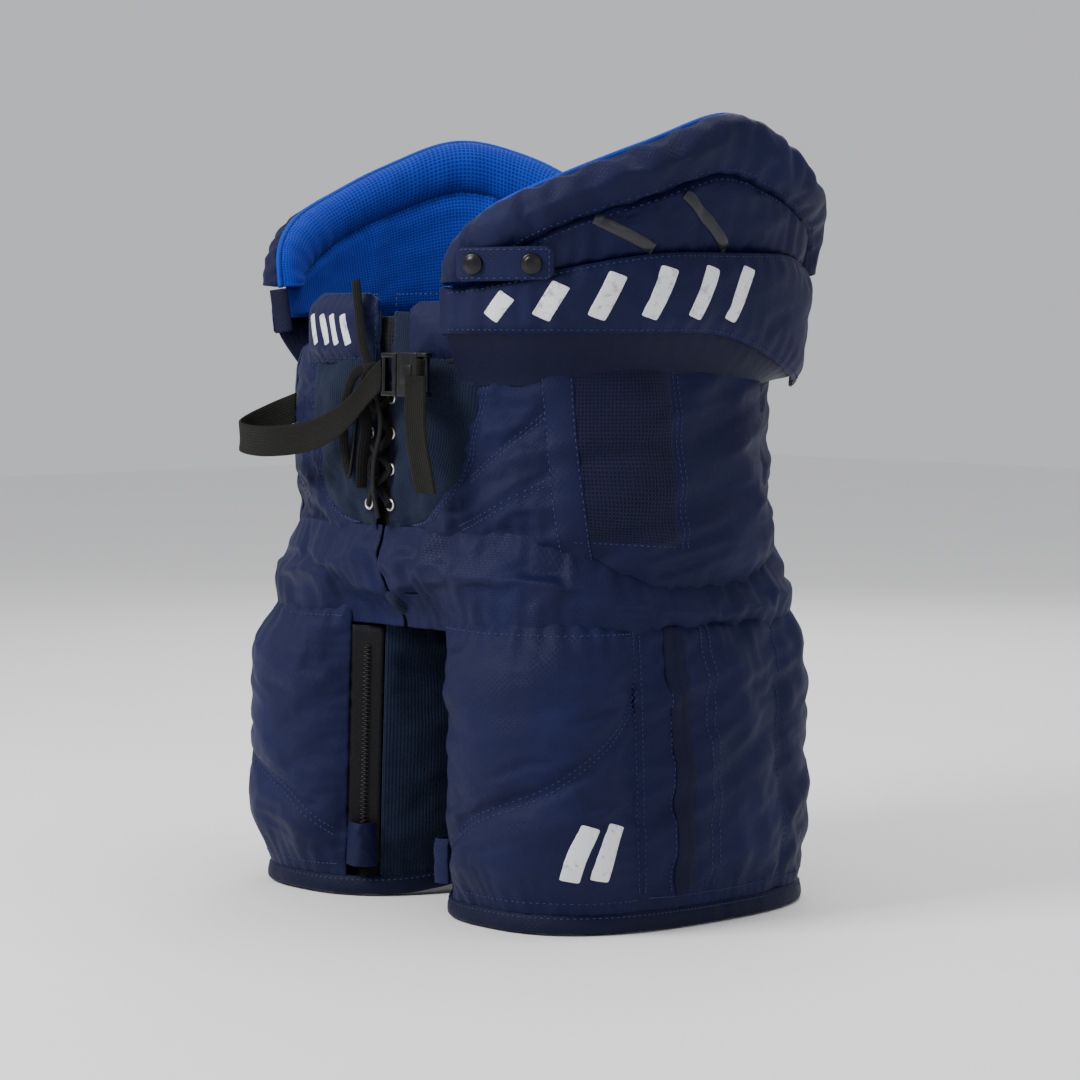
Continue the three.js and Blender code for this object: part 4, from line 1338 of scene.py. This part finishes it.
def make_wing(side_name, side):
    inset_top = {angle: height_over(RIM_INNER, angle) for angle in range(-72, 21)}

    def inner_edge(angle):
        low = max(-72, min(19, math.floor(angle)))
        return mix(inset_top[low], inset_top[low + 1], angle - low)

    def under_rim(angle):
        return max(inner_edge(angle) + 0.002, band_top(angle) + 0.003)

    wing = {
        "rim": rim_strip(f"{side_name}_rim_roll", NAVY, side, 0.0085, 0.0185, (110, 18),
                         (2.2, 0.03, 0.004, 0.003)),
        "inset": wing_patch(f"{side_name}_wing_centre", NAVY, side, -69, 18, lambda a: band_top(a) - 0.004,
                            under_rim,
                            0.0105, 0.0075, (76, 22), swell=(1.6, 0.025, 0.003, 0.003)),
        "band": wing_patch(f"{side_name}_waist_band", NAVY, side, WING_FRONT - 0.5, WING_BACK + 0.5,
                           band_low, band_top,
                           0.0185, 0.0065, (96, 16), swell=(1.6, 0.02, 0.003, 0.003)),
    }
    roll = rim_strip(f"{side_name}_lining_roll", BLUE_MESH, side, 0.0075, -0.0150, (110, 16), None)
    panel = wing_patch(f"{side_name}_lining_panel", BLUE_MESH, side, WING_FRONT + 0.3, WING_BACK - 0.6,
                       lambda a: band_low(a) + 0.012,
                       lambda a: max(inner_edge(max(-70, min(18, a))) + 0.003, band_top(a) + 0.004),
                       0.0035, -0.0070, (80, 30), [[(-50, 0.44), (-44, 0.55)], [(-12, 0.43), (-14, 0.57)]])
    face_inward(roll)
    face_inward(panel)
    return wing, roll, panel


def trim_wing(side_name, side, wing, roll, panel):
    body = f"{side_name}_wing"
    nodes = {"rim": "wing_rim", "inset": "wing_inset", "band": "belt_band"}
    for key, piece in wing.items():
        back_with(piece, 0.0022, 1)
        belongs(piece, body, f"{side_name}_{nodes[key]}", slot="nylon_shell")
    for piece in (roll, panel):
        back_with(piece, 0.0018, 1)
        belongs(piece, body, f"{side_name}_wing_lining", slot="blue_lining")
    outline = [tuple(spline(RIM_OUTER, i / 36)) for i in range(37)]
    edge = [oval(WING, angle, z - 0.0005, 0.0078, side) for angle, z in outline]
    cord = tube_along(f"{side_name}_wing_piping", edge, 0.0023, BLUE_EDGE, sides=10, path_steps=3)
    belongs(cord, body, slot="blue_lining")
    front_edge = [oval(WING, WING_FRONT - 0.4, mix(band_low(WING_FRONT), 0.492, i / 6), 0.0095, side)
                  for i in range(7)]
    wall = tube_along(f"{side_name}_band_end", front_edge, 0.0080, NAVY_DARK, sides=12, flat=0.25,
                      path_steps=3)
    belongs(wall, body, slot="nylon_shell")
    shells = surface_of(*wing.values())
    for i, line in enumerate(STRIPES):
        stripe = lay_tape(f"{side_name}_wing_stripe_{i + 1}", shells, WING, line, 0.0095, side, STRIPE,
                          lift=0.0007, thickness=0.0009)
        belongs(stripe, body, slot="black_plastic")
    rows = [[tuple(spline(RIM_INNER, i / 20) + Vector((0, 0.0042))) for i in range(21)]]
    rows += [[(angle, band_top(angle) - 0.0038) for angle in range(-76, 27, 6)]]
    rows += [[(angle, band_low(angle) + 0.0038) for angle in range(-76, 27, 6)]]
    rows += [[tuple(spline(RIM_INNER, i / 20) - Vector((0, 0.0036))) for i in range(2, 19)]]
    sew_stitches(f"{side_name}_wing_stitches", shells, WING, rows, side, body)
    for i in range(6):
        start = -66 + 9.5 * i
        line = [(start, band_low(start) + 0.0125), (start + 3.6, band_top(start + 3.6) - 0.0120)]
        line.insert(1, (start + 1.8, (line[0][1] + line[1][1]) / 2))
        lay_bar(f"{side_name}_band_bar_{i + 1}", shells, WING, line, 0.0130, side, body, 10, 4)
    make_lining_stitches(side_name, side, roll, panel)
    make_snap_tab(side_name, side)
    make_join(side_name, side)


def make_lining_stitches(side_name, side, roll, panel):
    trees = surface_of(roll, panel)
    thread = bmesh.new()
    for i in range(88):
        place = [spline(RIM_INNER, (i + share) / 88) for share in (0.3, 0.7)]
        ends = []
        for angle, z in place:
            inside = oval(WING, angle, z, -0.07, side)
            way = (oval(WING, angle, z, 0.0, side) - inside).normalized()
            hits = [tree.ray_cast(inside, way, 0.11) for tree in trees]
            hits = [hit for hit in hits if hit[0]]
            ends.append(min(hits, key=lambda hit: hit[3])[0] - way * 0.0003 if hits else inside + way * 0.07)
        along = (ends[1] - ends[0]).normalized()
        up = (Vector((0, 0, 0.5)) - ends[0]).normalized()
        across = up.cross(along).normalized()
        turn = Matrix((along * 0.0030, across * 0.0012, along.cross(across) * 0.001)).transposed().to_4x4()
        turn.translation = ends[0]
        bmesh.ops.create_icosphere(thread, subdivisions=1, radius=0.5, matrix=turn)
    stitches = new_piece(f"{side_name}_lining_stitches", thread, BLUE_THREAD)
    belongs(stitches, f"{side_name}_wing", slot="blue_lining")


TAB_ANGLE, TAB_Z = -63, 0.509


def make_snap_tab(side_name, side):
    body = f"{side_name}_tab"

    def shape(u, v):
        angle = TAB_ANGLE + mix(-9.2, 9.0, u)
        corner = 0.004 * smooth(abs(2 * u - 1), 0.86, 1.0)
        z = TAB_Z + mix(-0.0132 + corner, 0.0132 - corner, v) + 0.0014 * (u - 0.5)
        return angle, z, 0.0292 + 0.0012 * pillow(u, v, 0.1)

    tab = sewn(f"{side_name}_snap_strap", NAVY, WING, shape, (30, 14), side)
    back_with(tab, 0.0022, 1)
    belongs(tab, body, f"{side_name}_snap_tab", slot="nylon_shell")
    trees = surface_of(tab)
    rows = [[(TAB_ANGLE + a, TAB_Z + d) for a in (-8, 0, 8)] for d in (-0.0105, 0.0105)]
    rows += [[(TAB_ANGLE + 8.1, TAB_Z + d) for d in (-0.0105, 0, 0.0105)]]
    sew_stitches(f"{side_name}_tab_stitches", trees, WING, rows, side, body)
    for i, turn in enumerate((-5.4, 5.2)):
        cap = bmesh.new()
        outline = [(0.0001, 0.0036), (0.0030, 0.0035), (0.0050, 0.0032), (0.0056, 0.0025), (0.0064, 0.0024),
                   (0.0076, 0.0020), (0.0081, 0.0010), (0.0079, 0.0001), (0.0001, 0.0001)]
        points = [cap.verts.new((r, z, 0)) for r, z in outline]
        edges = [cap.edges.new(pair) for pair in zip(points, points[1:])]
        bmesh.ops.spin(cap, geom=points + edges, cent=(0, 0, 0), axis=(0, 1, 0), angle=2 * math.pi, steps=40,
                       use_merge=True)
        bmesh.ops.remove_doubles(cap, verts=cap.verts, dist=0.00005)
        bmesh.ops.recalc_face_normals(cap, faces=cap.faces)
        cap.transform(surface_frame(WING, TAB_ANGLE + turn, TAB_Z, side, 0.0306))
        if side < 0:
            bmesh.ops.recalc_face_normals(cap, faces=cap.faces)
        dome = new_piece(f"{side_name}_snap_{i + 1}", cap, PLASTIC)
        belongs(dome, body, f"{side_name}_snap_cap_{i + 1}", slot="black_plastic")


def make_join(side_name, side):
    """Snug cloth from the girdle's top out to the foot of the wing. Its dark navy is painted shade for the
    gap under the band.
    """
    sheet = cloth_grid((90, 16), 0.37, 0.05)
    for vert in sheet.verts:
        u, v = vert.co.x + 0.5, vert.co.y + 0.5
        angle = mix(WING_FRONT + 0.5, WING_BACK - 0.5, u)
        low = oval(GIRDLE, angle + WING_TURN[side], 0.416, 0.0062, side)
        high = oval(WING, angle, band_low(angle) + 0.010, 0.0165, side)
        reach = smooth(v, 0.0, 1.0) ** 0.8
        point = low.lerp(high, v)
        point.x, point.y = mix(low.x, high.x, reach), mix(low.y, high.y, reach)
        point.z += puckers(u * 0.37, (1 - v) * 0.05, 0.013, 0.0018, 0.02, side * 8)
        vert.co = point
    if side < 0:
        bmesh.ops.reverse_faces(sheet, faces=sheet.faces)
    # The dark navy of this sheet is painted shade: it darkens the gap under the wing's band.
    join = new_piece(f"{side_name}_wing_join_painted_shade", sheet, NAVY_DARK)
    back_with(join, 0.0015, 1)
    side * 0.19
    side * 0.19
    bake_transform(join)


# ---- Back pad ----------------------------------------------------------------------------
BACK = (47, 103)
BACK_LOW = 0.446


def back_top(angle):
    return 0.547 + 0.058 * smooth(1 - abs(angle - 75) / 29, 0, 0.8)


def make_back():
    seams = [[(64, BACK_LOW), (66, 0.60)], [(86, BACK_LOW), (84, 0.60)]]
    pad = wing_patch("back_shell", NAVY, 1, *BACK, lambda a: BACK_LOW, back_top, 0.0085, 0.0125, (60, 44),
                     seams,
                     (2.0, 0.03, 0.004, 0.003), fold=0.003, ring=WAIST)
    lining = wing_patch("back_pad_lining", BLUE_MESH, 1, *BACK, lambda a: BACK_LOW, back_top, 0.0065,
                        -0.0110, (60, 40), seams, ring=WAIST)
    face_inward(lining)
    return pad, lining, seams


def trim_back(pad, lining, seams):
    back_with(pad, 0.0022, 1)
    belongs(pad, "back", "back_pad", slot="nylon_shell")
    back_with(lining, 0.0018, 1)
    belongs(lining, "back", "back_lining", slot="blue_lining")
    edge = [(BACK[0] + 0.4, BACK_LOW + 0.004), (BACK[0], 0.49)]
    edge += [(angle, back_top(angle)) for angle in range(BACK[0], BACK[1] + 1, 4)]
    edge += [(BACK[1], 0.49), (BACK[1] - 0.4, BACK_LOW + 0.004)]
    route = [oval(WAIST, angle, z, 0.0080) for angle, z in edge]
    cord = tube_along("back_piping", route, 0.0048, BLACK_CLOTH, sides=12, path_steps=4)
    belongs(cord, "back", slot="black_lining")
    trees = surface_of(pad)
    rows = [beside(line, shift) for line in seams for shift in (-0.8, 0.8)]
    rows += [[(angle, back_top(angle) - 0.009) for angle in range(49, 102, 4)]]
    sew_stitches("back_stitches", trees, WAIST, rows, 1, "back")
    sheet = cloth_grid((70, 10), 0.35, 0.03)
    for vert in sheet.verts:
        angle = mix(BACK[0] - 1, BACK[1] + 1, vert.co.x + 0.5)
        low = oval(GIRDLE, angle, 0.436, 0.0035)
        high = oval(WAIST, angle, BACK_LOW + 0.008, 0.0075)
        vert.co = low.lerp(high, vert.co.y + 0.5)
    join = new_piece("back_join", sheet, BLACK_MESH)
    back_with(join, 0.0015, 1)
    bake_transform(join)


def make_girdle_lining():
    def shape(u, v):
        angle = mix(282, 618, u)
        z = mix(0.262, 0.443, v)
        return angle, z, -0.0095 + crumple((angle * 0.003, z, 8), 0.05, 0.003, 4)

    lining = face_inward(sewn("girdle_lining", BLACK_CLOTH, GIRDLE, shape, (120, 24)))
    back_with(lining, 0.0015, 1)
    belongs(lining, "girdle", slot="black_lining")


# ---- Floor and light ---------------------------------------------------------------------
def set_stage():
    floor = bmesh.new()
    bmesh.ops.create_grid(floor, x_segments=1, y_segments=1, size=6)
    paint = Paint("pale floor", Roughness=0.8)
    paint.feed("Base Color", paint.blend(rgb(0.88, 0.88, 0.88), rgb(0.92, 0.92, 0.92),
                                         paint.noise(paint.place(), 3.0)))
    ground = new_piece("floor", floor, paint.material)
    world = bpy.data.worlds.new("studio")
    world.use_nodes = True
    world.node_tree.nodes["Background"].inputs["Color"].default_value = rgb(0.96, 0.97, 1.0)
    world.node_tree.nodes["Background"].inputs["Strength"].default_value = 0.64
    scene.world = world
    for name, spot, size, power in (
        ("key", (-0.5, -1.9, 1.8), 0.9, 62),
        ("fill", (2.4, -0.9, 1.0), 1.4, 7),
        ("top", (0.2, 0.5, 2.4), 1.4, 26),
        ("back", (-1.4, 1.8, 1.5), 1.2, 16),
    ):
        lamp = bpy.data.lights.new(name, "AREA")
        lamp.size = size
        lamp.energy = power
        light = bpy.data.objects.new(name, lamp)
        light.location = spot
        light.rotation_euler = (Vector((0, 0, 0.32)) - light.location).to_track_quat("-Z", "Y").to_euler()
        scene.collection.objects.link(light)


# ---- The pants ---------------------------------------------------------------------------
def finish_frame_nodes():
    """Plates stay as the frame holds them."""
    for node in ("left_thigh_guard", "right_thigh_guard", "left_hip_guard", "right_hip_guard",
                 "tailbone_guard"):
        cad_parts[node].data.materials.clear()
        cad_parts[node].data.materials.append(PLATE)


def make_pants():
    make_lace()
    legs = {name: make_leg(name, side) for name, side in SIDES.items()}
    girdles = {name: make_girdle_side(name, side) for name, side in SIDES.items()}
    waists = {name: make_waist_front(name, side) for name, side in SIDES.items()}
    wings = {name: make_wing(name, side) for name, side in SIDES.items()}
    seat = make_seat()
    back = make_back()
    run_cloths()
    for name, side in SIDES.items():
        make_hem(name, side)
        make_leg_lining(name, side)
        trim_leg(name, side, *legs[name])
        make_zip(name, side)
        trim_girdle_side(name, side, *girdles[name])
        trim_waist_front(name, side, waists[name])
        make_eyelets(name, side)
        trim_wing(name, side, *wings[name])
    trim_seat(seat)
    trim_back(*back)
    make_tongue()
    make_gusset()
    make_girdle_lining()
    make_belt()
    finish_frame_nodes()


make_pants()
set_stage()
